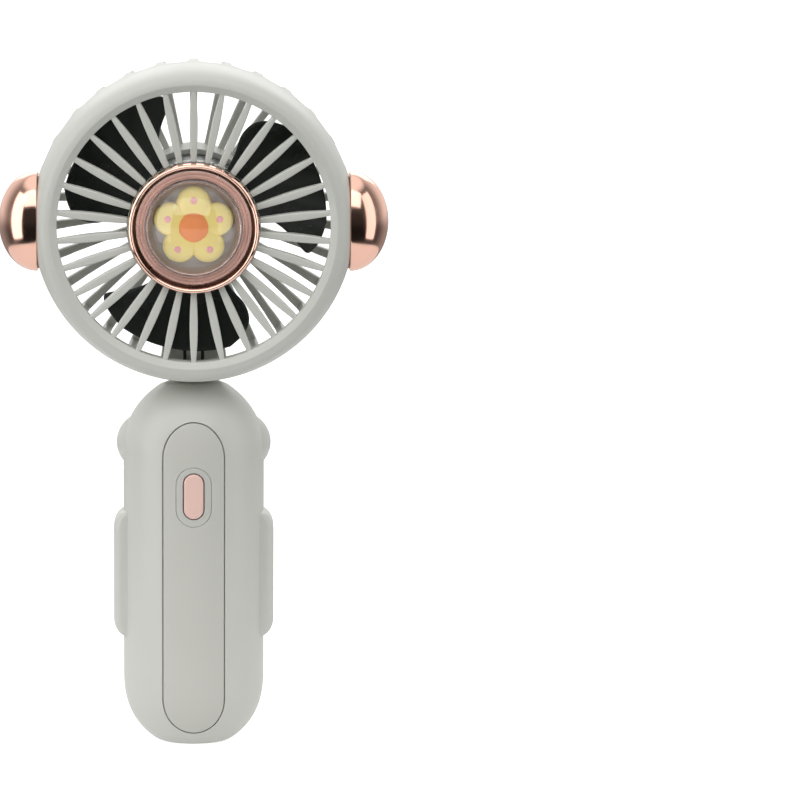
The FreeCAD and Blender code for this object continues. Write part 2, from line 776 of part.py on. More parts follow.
# front grille: the collar round the hub, with its ring of bars
body = new_body("front_grille")
sk = new_sketch(body, "XY_Plane", "collar_profile")
outline(
    sk,
    [
        ("collar_radius - collar_wall", "0"),
        ("collar_radius", "0"),
        ("collar_radius", "bar_front + bar_deep"),
        ("collar_radius - collar_wall", "bar_front + bar_deep"),
    ],
)
revolve(body, sk)
sk = new_sketch(body, "XZ_Plane", "spoke_outline", "-bar_front")
outline(
    sk,
    [
        ("-bar_inner_half", "collar_radius - 0.4"),
        ("bar_inner_half", "collar_radius - 0.4"),
        ("bar_mid_half", "28"),
        ("bar_mid_half", "31"),
        ("bar_outer_half", "rim_inner_radius - 0.01"),
        ("-bar_outer_half", "rim_inner_radius - 0.01"),
        ("-bar_mid_half", "31"),
        ("-bar_mid_half", "28"),
    ],
)
spoke = pad(body, sk, "bar_deep", reverse=True)
doc.recompute()
polar(body, spoke, int(q("bars_round")), 360.0)
place(body, y="head_front", z="head_level")
keep(body, "front_grille")

# ---------------------------------------------------------------- head: turned pieces of the front hub
turned(
    "lens_seat",
    [
        ("lens_radius", "0.82"),
        ("trim_inner - 0.6", "0.82"),
        ("trim_inner - 0.6", "1.52"),
        ("collar_radius - collar_wall - 0.05", "1.52"),
        ("collar_radius - collar_wall - 0.05", "collar_depth - 1.12"),
        ("lens_radius", "collar_depth - 1.12"),
    ],
)
turned(
    "trim_ring",
    [
        ("trim_inner", "-trim_front + 0.9"),
        ("trim_inner + 0.15", "-trim_front + 0.25"),
        ("trim_inner + 0.45", "-trim_front"),
        ("trim_outer - 0.35", "-trim_front + 0.2"),
        ("trim_outer", "-trim_front + 1.0"),
        ("trim_outer", "1.5"),
        ("trim_inner", "1.5"),
    ],
)


def cap_profile(radius, rise, wall, foot, flange, flange_thick):
    """Profile of a clear dome: a shallow bowl with a flat flange, as a face in (radius, depth)."""
    big = (radius ** 2 + rise ** 2) / (2 * rise)
    centre = foot - rise + big
    t = math.asin(radius / big)
    small = big - wall
    t2 = math.asin((radius - wall) / small)

    def at(r, a):
        return V(r * math.sin(a), centre - r * math.cos(a), 0)

    edges = [
        Part.Arc(at(big, 0), at(big, t / 2), at(big, t)).toShape(),
        Part.makeLine(at(big, t), V(flange, at(big, t).y, 0)),
        Part.makeLine(V(flange, at(big, t).y, 0), V(flange, foot + flange_thick, 0)),
        Part.makeLine(V(flange, foot + flange_thick, 0), V(radius - wall, foot + flange_thick, 0)),
        Part.makeLine(V(radius - wall, foot + flange_thick, 0), at(small, t2)),
        Part.Arc(at(small, t2), at(small, t2 / 2), at(small, 0)).toShape(),
        Part.makeLine(at(small, 0), at(big, 0)),
    ]
    return Part.Face(Part.Wire(edges))


def to_head(shape):
    shape.translate(V(0, q("head_front"), q("head_level")))
    return shape


lens = cap_profile(q("lens_radius"), q("lens_rise"), q("lens_wall"), -0.1, q("trim_inner") - 0.63, 0.9)
lens = lens.revolve(V(0, 0, 0), V(0, 1, 0), 360)
feature(to_head(lens), "clear_dome")
turned(
    "ornament_cup",
    [
        ("0", "collar_depth - 2.2"),
        ("12.4", "collar_depth - 2.2"),
        ("12.9", "0.9"),
        ("lens_radius - 0.1", "0.9"),
        ("lens_radius - 0.1", "collar_depth - 1.12"),
        ("0", "collar_depth - 1.12"),
    ],
)

# flower in the hub: five petals in one piece, a raised middle and small dots on the petals
petals = None
reach = q("flower_reach")
floor = q("collar_depth") - 2.2
pr = 4.7
for i in range(5):
    a = math.radians(72 * i)
    x, z = (reach - pr) * math.sin(a), (reach - pr) * math.cos(a)
    p = Part.makeCylinder(pr, 2.6, V(x, floor - 2.6, z), V(0, 1, 0))
    rim_edges = [e for e in p.Edges if all(abs(v.Point.y - (floor - 2.6)) < 1e-6 for v in e.Vertexes)]
    p = p.makeFillet(1.4, rim_edges)
    petals = p if petals is None else petals.fuse(p)
petals = petals.fuse(Part.makeCylinder(4.0, 2.0, V(0, floor - 2.0, 0), V(0, 1, 0)))
petals = petals.removeSplitter()
feature(to_head(petals.copy()), "flower_petals")
middle = Part.makeSphere(4.4, V(0, floor - 2.2, 0)).cut(petals).common(box(-9, 9, -20, floor - 2.0, -9, 9))
feature(to_head(middle), "flower_centre")
dots = []
for i in range(5):
    a = math.radians(72 * i)
    x, z = 7.7 * math.sin(a), 7.7 * math.cos(a)
    dots.append(Part.makeCylinder(0.9, 0.5, V(x, floor - 3.1, z), V(0, 1, 0)))
feature(to_head(Part.makeCompound(dots)), "flower_dots")

# ---------------------------------------------------------------- head: rear cage with its arm
body = new_body("cage")
sk = new_sketch(body, "XY_Plane", "band_profile")
outline(
    sk,
    [
        ("band_inner", "lip_front"),
        ("casing_radius - casing_wall - 0.05", "lip_front"),
        ("casing_radius - casing_wall - 0.05", "casing_seam + 0.1"),
        ("casing_radius - 0.3", "casing_seam + 0.1"),
        ("casing_radius", "casing_seam + 0.4"),
        ("casing_radius", "band_end - 0.7"),
        ("casing_radius - 0.7", "band_end"),
        ("band_inner", "band_end"),
    ],
)
revolve(body, sk)
sk = new_sketch(body, "YZ_Plane", "rib_outline")
outline(
    sk,
    [
        ("12.6", "casing_radius - 0.05"),
        ("17", "casing_radius", "23.2", "casing_radius - 0.72"),
        ("29.47", "casing_radius - 2.06", "31.12", "casing_radius - 2.88"),
        ("32.07", "casing_radius - 4.45", "34.6", "casing_radius - 14.3"),
        ("hub_back - 0.1", "hub_radius - 0.8"),
        ("hub_back - 3.0", "hub_radius - 0.8"),
        ("32.0", "casing_radius - 16.5"),
        ("30.0", "casing_radius - 7.6"),
        ("28.0", "casing_radius - 5.2"),
        ("23.5", "casing_radius - bar_thick - 0.75"),
        ("17", "casing_radius - bar_thick"),
        ("12.6", "casing_radius - bar_thick"),
    ],
)
rib = pad(body, sk, "cage_bar_width", mid=True)
doc.recompute()
polar(body, rib, 27, 312.0)
sk = new_sketch(body, "XY_Plane", "hub_profile")
outline(
    sk,
    [
        ("0", "hub_back - cover_thick - 0.1 - hub_floor"),
        ("motor_radius + 0.05", "hub_back - cover_thick - 0.1 - hub_floor"),
        ("motor_radius + 0.05", "24"),
        ("motor_radius + 1.2", "24"),
        ("motor_radius + 1.2", "hub_back - cover_thick - 0.1 - hub_floor"),
        ("hub_radius - hub_wall", "hub_back - cover_thick - 0.1 - hub_floor"),
        ("hub_radius - hub_wall", "23.2"),
        ("hub_radius", "23.2"),
        ("hub_radius", "hub_back"),
        ("cover_radius + 0.1", "hub_back"),
        ("cover_radius + 0.1", "hub_back - cover_thick - 0.1"),
        ("0", "hub_back - cover_thick - 0.1"),
    ],
)
revolve(body, sk)
doc.recompute()

HF, HL = q("head_front"), q("head_level")


def head_yz(s, r):
    """Point on the head's middle plane below its centre: depth s, distance r."""
    return (0, HF + s, HL - r)


arm_side = polygon_face(
    [
        head_yz(q("hub_back"), q("hub_radius") - 0.9),
        head_yz(35.4, 28),
        head_yz(34.0, 37),
        head_yz(31.9, q("arm_reach")),
        head_yz(15.5, q("arm_reach")),
        head_yz(13.2, q("casing_radius") - 0.2),
        head_yz(13.2, q("band_inner") + 0.4),
        head_yz(22, 44.0),
        head_yz(27.6, 41.4),
        head_yz(31.2, 33),
        head_yz(33.2, q("hub_radius") - 0.9),
    ]
).extrude(V(30, 0, 0))
arm_side.translate(V(-15, 0, 0))
lo, hi = q("arm_half_low"), q("arm_half_high")
arm_front = polygon_face(
    [
        (-lo, -40, HL - 48),
        (lo, -40, HL - 48),
        (hi, -40, HL - q("hub_radius")),
        (hi, -40, HL - 17),
        (-hi, -40, HL - 17),
        (-hi, -40, HL - q("hub_radius")),
    ]
).extrude(V(0, 80, 0))
arm = arm_side.common(arm_front)
keep_out = Part.makeCylinder(q("hub_radius") - 0.4, 60, V(0, HF, HL), V(0, 1, 0))
arm = arm.cut(keep_out)
cage = body.Tip.Shape.copy()
below = box(-1, 1, 16, 24, -46.5, -45.5)
gap_first = cage.copy()
gap_first.rotate(V(0, 0, 0), V(0, 1, 0), 156)
if gap_first.common(below).Volume > 0.1:
    gap_first.rotate(V(0, 0, 0), V(0, 1, 0), -312)
assert gap_first.common(below).Volume < 0.1
cage = gap_first  # the three missing bars are at the bottom, where the arm is
cage.translate(V(0, HF, HL))
cage = cage.fuse(arm)
# tab of the hub ring that holds the round cover at the top
tab = box(-1.5, 1.5, HF + q("hub_back") - 0.6, HF + q("hub_back"), HL + q("cover_radius") - 2.2, HL + q("cover_radius") + 0.6)
cage = cage.fuse(tab)


def ear_block(side, grow, x0, x1):
    """Oval prism along X at an ear, with the cap's outline grown by grow."""
    rim = Part.Ellipse(V(0, 0, 0), q("ear_half_height") + grow, q("ear_half_depth") + grow)
    c = Part.Face(Part.Wire([rim.toShape()])).extrude(V(0, 0, x1 - x0))
    c.rotate(V(0, 0, 0), V(0, 1, 0), 90)
    c.translate(V(x0 if side > 0 else -x1, HF + q("ear_mid_depth"), HL))
    return c


# seats of the ear caps: a plate across the bars, and everything outside it cut flat
for side in (-1, 1):
    seat = ear_block(side, -0.7, 43.6, q("ear_seat"))
    seat = seat.common(box(-60, 60, HF + q("casing_seam") + 0.4, HF + 30, 0, 300))
    cage = cage.cut(ear_block(side, 0.45, q("ear_seat"), 50.0)).fuse(seat)
# two square wire holes in the arm, below the hub ring, and the channels behind them
for x in (-2.62, 2.62):
    cage = cage.cut(box(x - 1.15, x + 1.15, HF + 28, HF + 40, HL - q("hub_radius") - 3.4, HL - q("hub_radius") - 1.1))
    cage = cage.cut(box(x - 0.75, x + 0.75, HF + 32.0, HF + 33.75, HL - q("hub_radius") - 3.0, HL - 10))
    cage = cage.cut(Part.makeCylinder(1.15, 7, V(x, HF + 24.1, HL - 47.6), V(0, 0, 1)))

# neck: a plate and a tapering rib between the arm and the hinge barrel
bl = q("barrel_half_length")
plug = HL - q("neck_plug")
plate = box(-bl, bl, HY - 3.6, HY + 0.4, HZ, plug)
flare = [(3.35, 98.5), (3.85, 101.4), (4.75, 104.4), (bl, 107.4), (bl, plug)]
rib_solid = polygon_face([(x, 0, z) for x, z in flare] + [(-x, 0, z) for x, z in reversed(flare)]).extrude(V(0, 4.4, 0))
rib_solid.translate(V(0, HY + 0.2, 0))
barrel = Part.makeCylinder(q("barrel_radius"), 2 * bl, V(-bl, HY, HZ), V(1, 0, 0))
web = box(-3.35, 3.35, HY, HY + 4.6, HZ, 98.6)
neck = plate.fuse(rib_solid).fuse(barrel).fuse(web).removeSplitter()
neck = neck.cut(Part.makeCylinder(q("pin_radius") + q("pin_clearance"), 40, V(-20, HY, HZ), V(1, 0, 0)))
for x in (-2.6, 2.6):
    neck = neck.cut(Part.makeCylinder(0.75, 40, V(x, HY - 2.65, 86), V(0, 0, 1)))
cage = cage.cut(plate.fuse(rib_solid))
feature(cage, "rear_cage")
feature(neck, "hinge_neck")

cover = Part.makeCylinder(q("cover_radius"), q("cover_thick"), V(0, HF + q("hub_back") - q("cover_thick") - 0.05, HL), V(0, 1, 0))
cover = cover.cut(box(-1.6, 1.6, HF, HF + 50, HL + q("cover_radius") - 2.3, HL + 30))
feature(cover, "rear_hub_cover")

# ---------------------------------------------------------------- ears
for side, word in ((-1, "left"), (1, "right")):
    base, rise, wall = q("ear_base"), q("ear_reach") - q("ear_base"), q("ear_wall")
    core = 1 - wall / 12.5  # the hollow, as a share of the outline
    shell_curve, hollow_curve = Part.BSplineCurve(), Part.BSplineCurve()
    steps = [math.pi / 2 * i / 12 for i in range(13)]
    shell_curve.interpolate([V(side * (base + rise * math.sin(t)), 0, math.cos(t) if t < 1.57 else 0.0) for t in steps])
    hollow_curve.interpolate([V(side * (base + (rise - wall) * math.sin(t)), 0, core * math.cos(t) if t < 1.57 else 0.0) for t in steps])
    corners = [V(side * x, 0, z) for x, z in ((base + rise, 0), (base + rise - wall, 0), (base, core), (q("ear_seat"), core), (q("ear_seat"), 0.965), (base, 0.965), (base, 1))]
    wire = Part.Wire(
        [shell_curve.toShape(), Part.makeLine(corners[0], corners[1]), hollow_curve.toShape()]
        + [Part.makeLine(corners[i], corners[i + 1]) for i in range(2, 6)]
    )
    ear = Part.Face(wire).revolve(V(0, 0, 0), V(1, 0, 0), 360)
    m = FreeCAD.Matrix()
    m.scale(1, q("ear_half_depth"), q("ear_half_height"))
    ear = ear.transformGeometry(m)
    ear.translate(V(0, HF + q("ear_mid_depth"), HL))
    feature(ear, "ear_cap_" + word)

# ---------------------------------------------------------------- motor
turned(
    "motor_can",
    [
        ("3.1", "motor_front"),
        ("motor_radius", "motor_front"),
        ("motor_radius", "motor_back"),
        ("motor_radius - 0.6", "motor_back"),
        ("motor_radius - 0.6", "motor_front + 0.8"),
        ("3.1", "motor_front + 0.8"),
    ],
)
turned("motor_magnets", [("9.6", "21.4"), ("motor_radius - 0.6", "21.4"), ("motor_radius - 0.6", "30.4"), ("9.6", "30.4")])
turned("motor_end_cap", [("2.6", "motor_back - 1.3"), ("motor_radius - 0.62", "motor_back - 1.3"), ("motor_radius - 0.62", "motor_back"), ("2.6", "motor_back")])
turned("motor_front_bush", [("shaft_radius + 0.04", "18.6"), ("3.08", "18.6"), ("3.08", "21.2"), ("shaft_radius + 0.04", "21.2")])
turned("motor_rear_bush", [("shaft_radius + 0.04", "31.0"), ("2.58", "31.0"), ("2.58", "33.3"), ("shaft_radius + 0.04", "33.3")])
turned("motor_rotor", [("shaft_radius", "22"), ("9.1", "22"), ("9.1", "29.8"), ("shaft_radius", "29.8")])
turned("motor_shaft", [("0", "shaft_front"), ("shaft_radius", "shaft_front"), ("shaft_radius", "shaft_back"), ("0", "shaft_back")])
terminals = [box(x - 0.9, x + 0.9, HF + q("motor_back") + 0.02, HF + q("motor_back") + 0.9, HL - 4.5, HL - 3.0) for x in (-4.4, 4.4)]
feature(Part.makeCompound(terminals), "motor_terminals")
leads = []
for x in (-2.6, 2.6):
    leads.append(
        tube_along(
            [
                (x, HF + 33.15, HL - 5.6),
                (x, HF + 33.15, HL - 14.0),
                (x, HF + 32.85, HL - 19.0),
                (x, HF + 31.6, HL - 23.6),
                (x, HF + 28.9, HL - 32.0),
                (x, HY - 2.65, HL - 41.6),
                (x, HY - 2.65, HL - 54.0),
            ],
            0.5,
        )
    )
feature(Part.makeCompound(leads), "motor_leads")

# ---------------------------------------------------------------- impeller: hub cup and three swept blades
hub_face = polygon_face(
    [
        (q("shaft_radius"), 12.0, 0),
        (q("shaft_radius"), 18.0, 0),
        (3.2, 18.0, 0),
        (3.2, 12.2, 0),
        (q("impeller_hub") - 1.4, 12.2, 0),
        (q("impeller_hub") - 1.4, q("impeller_back"), 0),
        (q("impeller_hub"), q("impeller_back"), 0),
        (q("impeller_hub"), q("impeller_front") + 1.2, 0),
        (q("impeller_hub") - 1.2, q("impeller_front"), 0),
        (0, q("impeller_front"), 0),
        (0, 11.15, 0),
        (q("shaft_radius"), 11.15, 0),
    ]
)
hub_solid = hub_face.revolve(V(0, 0, 0), V(0, 1, 0), 360)


# the two edges of a blade, as (radius, angle from the blade's start in degrees)
BACK_EDGE = [(17.3, 7.0), (23.3, 5.0), (28.0, 2.8), (32.5, 4.4), (35.7, 9.0), (38.5, 18.0)]
LEAD_EDGE = [(17.3, 65.0), (22.6, 67.2), (28.0, 74.3), (31.5, 79.5), (34.6, 82.3), (36.4, 79.0), (37.6, 73.0), (38.5, 66.0)]


def along(table, r):
    """Value of a table of (radius, value) at radius r, on a soft curve through its points."""
    n = len(table)

    def slope(k):
        a, b = table[max(k - 1, 0)], table[min(k + 1, n - 1)]
        return (b[1] - a[1]) / (b[0] - a[0])

    k = 0
    while k < n - 2 and r > table[k + 1][0]:
        k += 1
    (ra, va), (rb, vb) = table[k], table[k + 1]
    h = rb - ra
    t = min(max((r - ra) / h, 0.0), 1.0)
    ma, mb = slope(k) * h, slope(k + 1) * h
    return va * (2 * t ** 3 - 3 * t * t + 1) + ma * (t ** 3 - 2 * t * t + t) + vb * (3 * t * t - 2 * t ** 3) + mb * (t ** 3 - t * t)


def blade(start, end):
    """One blade between two angles, clockwise from the top as seen from the front.
    The clockwise end is the leading edge, at the back. It sweeps forward as a blunt hook near the tip."""
    n_u, n_v = 17, 17
    r0, r1 = q("impeller_hub") - 0.7, q("blade_tip")
    span = end - start

    def point(u, v, side):
        r = r0 + (r1 - r0) * v
        a0 = start + along(BACK_EDGE, r)
        a1 = start + along(LEAD_EDGE, r)
        a = math.radians(a0 + (a1 - a0) * u)
        t = (a0 + (a1 - a0) * u - start) / span
        pitch = 8.6 + 1.8 * (1 - v)
        s = 12.2 + (1 - v) * 0.2 + pitch * (t ** 1.0) - 1.6 * math.sin(math.pi * min(max(t, 0), 1)) * (0.4 + 0.6 * v)
        room = q("impeller_back") - 0.3 + 1.3 * v - s
        s += room - (math.sqrt(room ** 2 + 0.16) + room) / 2
        s += side * q("blade_thick") / 2
        return V(r * math.sin(a), s, r * math.cos(a))

    def surface(side):
        grid = [[point(i / (n_u - 1), j / (n_v - 1), side) for j in range(n_v)] for i in range(n_u)]
        f = Part.BSplineSurface()
        f.approximate(Points=grid, DegMin=3, DegMax=5, Continuity=2, Tolerance=0.02)
        return f

    top, low = surface(-1), surface(1)
    faces = [top.toShape(), low.toShape()]
    for side_of in (
        lambda f: f.uIso(f.bounds()[0]),
        lambda f: f.uIso(f.bounds()[1]),
        lambda f: f.vIso(f.bounds()[2]),
        lambda f: f.vIso(f.bounds()[3]),
    ):
        faces.append(Part.makeRuledSurface(side_of(top).toShape(), side_of(low).toShape()))
    sewn = Part.makeShell(faces)
    sewn.sewShape()
    solid = Part.makeSolid(Part.Shell(sewn.Faces) if sewn.ShapeType != "Shell" else sewn)
    if solid.Volume < 0:
        solid.reverse()
    return solid


fan = hub_solid
for k in range(int(q("blade_count"))):
    fan = fan.fuse(blade(26.0 + 120.0 * k, 106.0 + 120.0 * k))
bore = Part.makeCylinder(q("impeller_hub") - 1.4, 20, V(0, 12.2, 0), V(0, 1, 0)).cut(Part.makeCylinder(3.2, 5.8, V(0, 12.2, 0), V(0, 1, 0)))
fan = fan.cut(bore)
feature(to_head(fan), "impeller")

# ---------------------------------------------------------------- check and write
doc.recompute()
faults = []
for o in doc.Objects:
    if any(s in ("Invalid", "Error") for s in o.State):
        faults.append("%s: %s" % (o.Label, o.State))
names = set()
for o in parts:
    s = o.Shape
    if s.isNull() or not s.isValid() or s.Volume <= 0:
        faults.append("%s: bad shape" % o.Label)
    if o.Label in names:
        faults.append("%s: used twice" % o.Label)
    names.add(o.Label)
if faults:
    raise SystemExit("\n".join(faults))
for old in os.listdir("parts"):
    if old.endswith(".step") and old[:-5] not in names:
        os.remove(os.path.join("parts", old))
for o in parts:
    s = o.Shape
    s.exportStep("parts/%s.step" % o.Label)
    b = s.BoundBox
    print(
        "%-20s solids %2d  vol %9.1f  x %7.2f %7.2f  y %7.2f %7.2f  z %7.2f %7.2f"
        % (o.Label, len(s.Solids), s.Volume, b.XMin, b.XMax, b.YMin, b.YMax, b.ZMin, b.ZMax)
    )
print(len(parts), "sub-parts")
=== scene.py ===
"""Looks of the pocket fan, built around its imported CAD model. All shapes are worked out in millimetres
in the row frame (+Z up, the fan blows towards -Y) and written to the meshes in metres."""

import math

import bmesh
import bpy
import numpy as np
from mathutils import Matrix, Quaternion, Vector


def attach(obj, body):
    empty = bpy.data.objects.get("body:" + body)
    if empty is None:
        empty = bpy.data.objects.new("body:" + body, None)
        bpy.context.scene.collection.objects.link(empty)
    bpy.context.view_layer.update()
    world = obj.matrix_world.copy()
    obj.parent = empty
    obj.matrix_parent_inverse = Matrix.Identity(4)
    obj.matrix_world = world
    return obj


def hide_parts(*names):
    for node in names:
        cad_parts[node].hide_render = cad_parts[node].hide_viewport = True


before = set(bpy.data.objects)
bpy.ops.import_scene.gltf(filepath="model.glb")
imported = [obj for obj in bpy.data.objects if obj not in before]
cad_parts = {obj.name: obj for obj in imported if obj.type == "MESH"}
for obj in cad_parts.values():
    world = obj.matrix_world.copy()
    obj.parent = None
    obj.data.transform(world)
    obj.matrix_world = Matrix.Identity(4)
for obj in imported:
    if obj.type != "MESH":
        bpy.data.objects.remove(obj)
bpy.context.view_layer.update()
MM = 0.001
HF, HL = -19.5, 154.8  # the head's front plane (y) and the height of its centre
HY, HZ = 7.0, 90.4  # the tilt hinge


# ------------------------------------------------------------------ materials
def srgb(r, g, b):
    """A colour as a screen shows it, 0 to 255, as linear light."""
    out = []
    for c in (r, g, b):
        c /= 255.0
        out.append(c / 12.92 if c <= 0.04045 else ((c + 0.055) / 1.055) ** 2.4)
    return (*out, 1.0)


def new_material(name):
    mat = bpy.data.materials.new(name)
    mat.use_nodes = True
    nt = mat.node_tree
    nt.nodes.clear()
    out = nt.nodes.new("ShaderNodeOutputMaterial")
    bsdf = nt.nodes.new("ShaderNodeBsdfPrincipled")
    nt.links.new(bsdf.outputs["BSDF"], out.inputs["Surface"])
    return mat, nt, bsdf


def noise(nt, scale, detail=2.0, rough=0.5, coords=None, stretch=None):
    if coords is None:
        tc = nt.nodes.new("ShaderNodeTexCoord")
        coords = tc.outputs["Object"]
    if stretch:
        mp = nt.nodes.new("ShaderNodeMapping")
        mp.inputs["Scale"].default_value = stretch
        nt.links.new(coords, mp.inputs["Vector"])
        coords = mp.outputs["Vector"]
    n = nt.nodes.new("ShaderNodeTexNoise")
    n.inputs["Scale"].default_value = scale
    n.inputs["Detail"].default_value = detail
    n.inputs["Roughness"].default_value = rough
    nt.links.new(coords, n.inputs["Vector"])
    return n.outputs["Fac"]


def ramp(nt, fac, low, high, lo=0.35, hi=0.65):
    m = nt.nodes.new("ShaderNodeMapRange")
    m.inputs["From Min"].default_value = lo
    m.inputs["From Max"].default_value = hi
    m.inputs["To Min"].default_value = low
    m.inputs["To Max"].default_value = high
    nt.links.new(fac, m.inputs["Value"])
    return m.outputs["Result"]


def tinted(nt, fac, a, b, lo=0.3, hi=0.7):
    cr = nt.nodes.new("ShaderNodeValToRGB")
    cr.color_ramp.elements[0].position = lo
    cr.color_ramp.elements[0].color = a
    cr.color_ramp.elements[1].position = hi
    cr.color_ramp.elements[1].color = b
    nt.links.new(fac, cr.inputs["Fac"])
    return cr.outputs["Color"]


def bump(nt, bsdf, height, strength, distance):
    b = nt.nodes.new("ShaderNodeBump")
    b.inputs["Strength"].default_value = strength
    b.inputs["Distance"].default_value = distance
    nt.links.new(height, b.inputs["Height"])
    nt.links.new(b.outputs["Normal"], bsdf.inputs["Normal"])


def plastic(name, colour, rough=0.3, vary=0.03, grain=0.02, grain_scale=2600.0, coat=0.0, coat_rough=0.1, sheen=0.0, spec=0.5, sss=0.0):
    """Moulded plastic: a little unevenness in colour and gloss, and a very fine skin."""
    mat, nt, bsdf = new_material(name)
    c = np.array(colour[:3])
    a = (*(c * (1 - vary)), 1)
    b = (*np.minimum(c * (1 + vary), 1), 1)
    nt.links.new(tinted(nt, noise(nt, 38.0, 3.0), a, b), bsdf.inputs["Base Color"])
    nt.links.new(ramp(nt, noise(nt, 90.0, 4.0), rough * 0.9, min(rough * 1.12, 1)), bsdf.inputs["Roughness"])
    bsdf.inputs["Coat Weight"].default_value = coat
    bsdf.inputs["Coat Roughness"].default_value = coat_rough
    bsdf.inputs["Specular IOR Level"].default_value = spec
    if sss:
        bsdf.inputs["Subsurface Weight"].default_value = sss
        bsdf.inputs["Subsurface Radius"].default_value = (0.0012, 0.0012, 0.001)
        bsdf.inputs["Subsurface Scale"].default_value = 1.0
    if grain:
        bump(nt, bsdf, noise(nt, grain_scale, 2.0), grain, 0.00004)
    return mat


def metal(name, colour, rough=0.12, vary=0.02, grain=0.01, grain_scale=900.0, stretch=None):
    mat, nt, bsdf = new_material(name)
    c = np.array(colour[:3])
    nt.links.new(tinted(nt, noise(nt, 60.0, 2.0), (*(c * (1 - vary)), 1), (*np.minimum(c * (1 + vary), 1), 1)), bsdf.inputs["Base Color"])
    bsdf.inputs["Metallic"].default_value = 1.0
    nt.links.new(ramp(nt, noise(nt, 140.0, 4.0, stretch=stretch), rough * 0.8, rough * 1.25), bsdf.inputs["Roughness"])
    if grain:
        bump(nt, bsdf, noise(nt, grain_scale, 2.0, stretch=stretch), grain, 0.00003)
    return mat


def clear(name, tint=(0.98, 0.985, 0.98, 1), rough=0.01, ior=1.47, spec=0.5):
    mat, nt, bsdf = new_material(name)
    bsdf.inputs["Base Color"].default_value = tint
    bsdf.inputs["Transmission Weight"].default_value = 1.0
    bsdf.inputs["IOR"].default_value = ior
    bsdf.inputs["Specular IOR Level"].default_value = spec
    nt.links.new(ramp(nt, noise(nt, 220.0, 2.0), rough * 0.5, rough * 1.5), bsdf.inputs["Roughness"])
    return mat


SAGE = srgb(207, 208, 201)
M = {
    "shell": plastic("sage_gloss", SAGE, rough=0.34, vary=0.006, grain=0.03),
    "casing": plastic("sage_casing", srgb(209, 210, 203), rough=0.36, vary=0.006, grain=0.03),
    "cage": plastic("sage_cage", srgb(207, 208, 201), rough=0.38, vary=0.006, grain=0.03),
    "panel": plastic("sage_panel", srgb(202, 202, 195), rough=0.5, vary=0.006, grain=0.05, grain_scale=3600.0),
    "bezel": plastic("sage_bezel", srgb(202, 203, 197), rough=0.3, vary=0.006, grain=0.02),
    "button": plastic("rose_satin", srgb(241, 204, 193), rough=0.42, vary=0.012, grain=0.04),
    "rose": metal("rose_plated", srgb(246, 198, 178), rough=0.14),
    "ring": metal("rose_ring", srgb(248, 204, 186), rough=0.09),
    "copper": metal("copper_flange", srgb(186, 143, 130), rough=0.3, stretch=(1, 0.2, 1)),
    "clear": clear("clear_dome_acrylic", rough=0.05, spec=0.2),
    "collar": clear("clear_collar_acrylic", tint=srgb(225, 224, 218), rough=0.05),
    "mauve": plastic("mauve_cup", srgb(160, 148, 146), rough=0.22, vary=0.02, grain=0.02, coat=0.4),
    "yellow": plastic("petal_yellow", srgb(250, 227, 138), rough=0.42, vary=0.02, grain=0.03, sss=0.15),
    "orange": plastic("centre_orange", srgb(250, 151, 89), rough=0.4, vary=0.02, grain=0.03, sss=0.1),
    "pink": plastic("dot_pink", srgb(238, 160, 168), rough=0.42, vary=0.02, grain=0.03),
    "label": plastic("label_disc", srgb(216, 216, 222), rough=0.34, vary=0.006, grain=0.015),
    "dark": plastic("impeller_dark", srgb(42, 48, 45), rough=0.26, vary=0.015, grain=0.01, grain_scale=1800.0),
    "black": plastic("switch_black", srgb(28, 28, 30), rough=0.4, vary=0.05, grain=0.03),
    "screw": metal("screw_black", srgb(92, 92, 90), rough=0.35, grain=0.05),
    "steel": metal("steel_bright", srgb(196, 197, 200), rough=0.2, grain=0.02),
    "can": metal("motor_can_steel", srgb(186, 186, 188), rough=0.24, grain=0.04, stretch=(1, 0.1, 1)),
    "nickel": metal("nickel", srgb(205, 200, 186), rough=0.25),
    "bronze": metal("bronze_sintered", srgb(176, 132, 82), rough=0.42, grain=0.25, grain_scale=2400.0),
    "ferrite": plastic("ferrite", srgb(74, 74, 78), rough=0.6, vary=0.1, grain=0.3, grain_scale=1400.0),
    "winding": metal("winding_copper", srgb(186, 106, 62), rough=0.3, grain=0.4, grain_scale=700.0, stretch=(1, 6, 1)),
    "wrap": plastic("cell_wrap", srgb(58, 116, 138), rough=0.28, vary=0.03, grain=0.02, coat=0.3),
    "board": plastic("board_green", srgb(38, 92, 58), rough=0.32, vary=0.06, grain=0.04),
    "wire": plastic("wire_black", srgb(30, 29, 29), rough=0.45, vary=0.03),
    "light": plastic("light_white", srgb(240, 238, 225), rough=0.3, vary=0.02),
}


# ------------------------------------------------------------------ mesh building
def finish_mesh(ob, sharp=32.0):
    me = ob.data
    me.validate()
    bm = bmesh.new()
    bm.from_mesh(me)
    bmesh.ops.remove_doubles(bm, verts=bm.verts, dist=1e-7)
    bmesh.ops.recalc_face_normals(bm, faces=bm.faces)
    bm.to_mesh(me)
    bm.free()
    me.polygons.foreach_set("use_smooth", [True] * len(me.polygons))
    me.set_sharp_from_angle(angle=math.radians(sharp))
    me.update()


def raw(name, verts, faces):
    me = bpy.data.meshes.new(name)
    v = np.asarray(verts, float) * MM
    me.from_pydata([tuple(p) for p in v], [], [tuple(int(i) for i in f) for f in faces])
    ob = bpy.data.objects.new(name, me)
    bpy.context.scene.collection.objects.link(ob)
    return ob


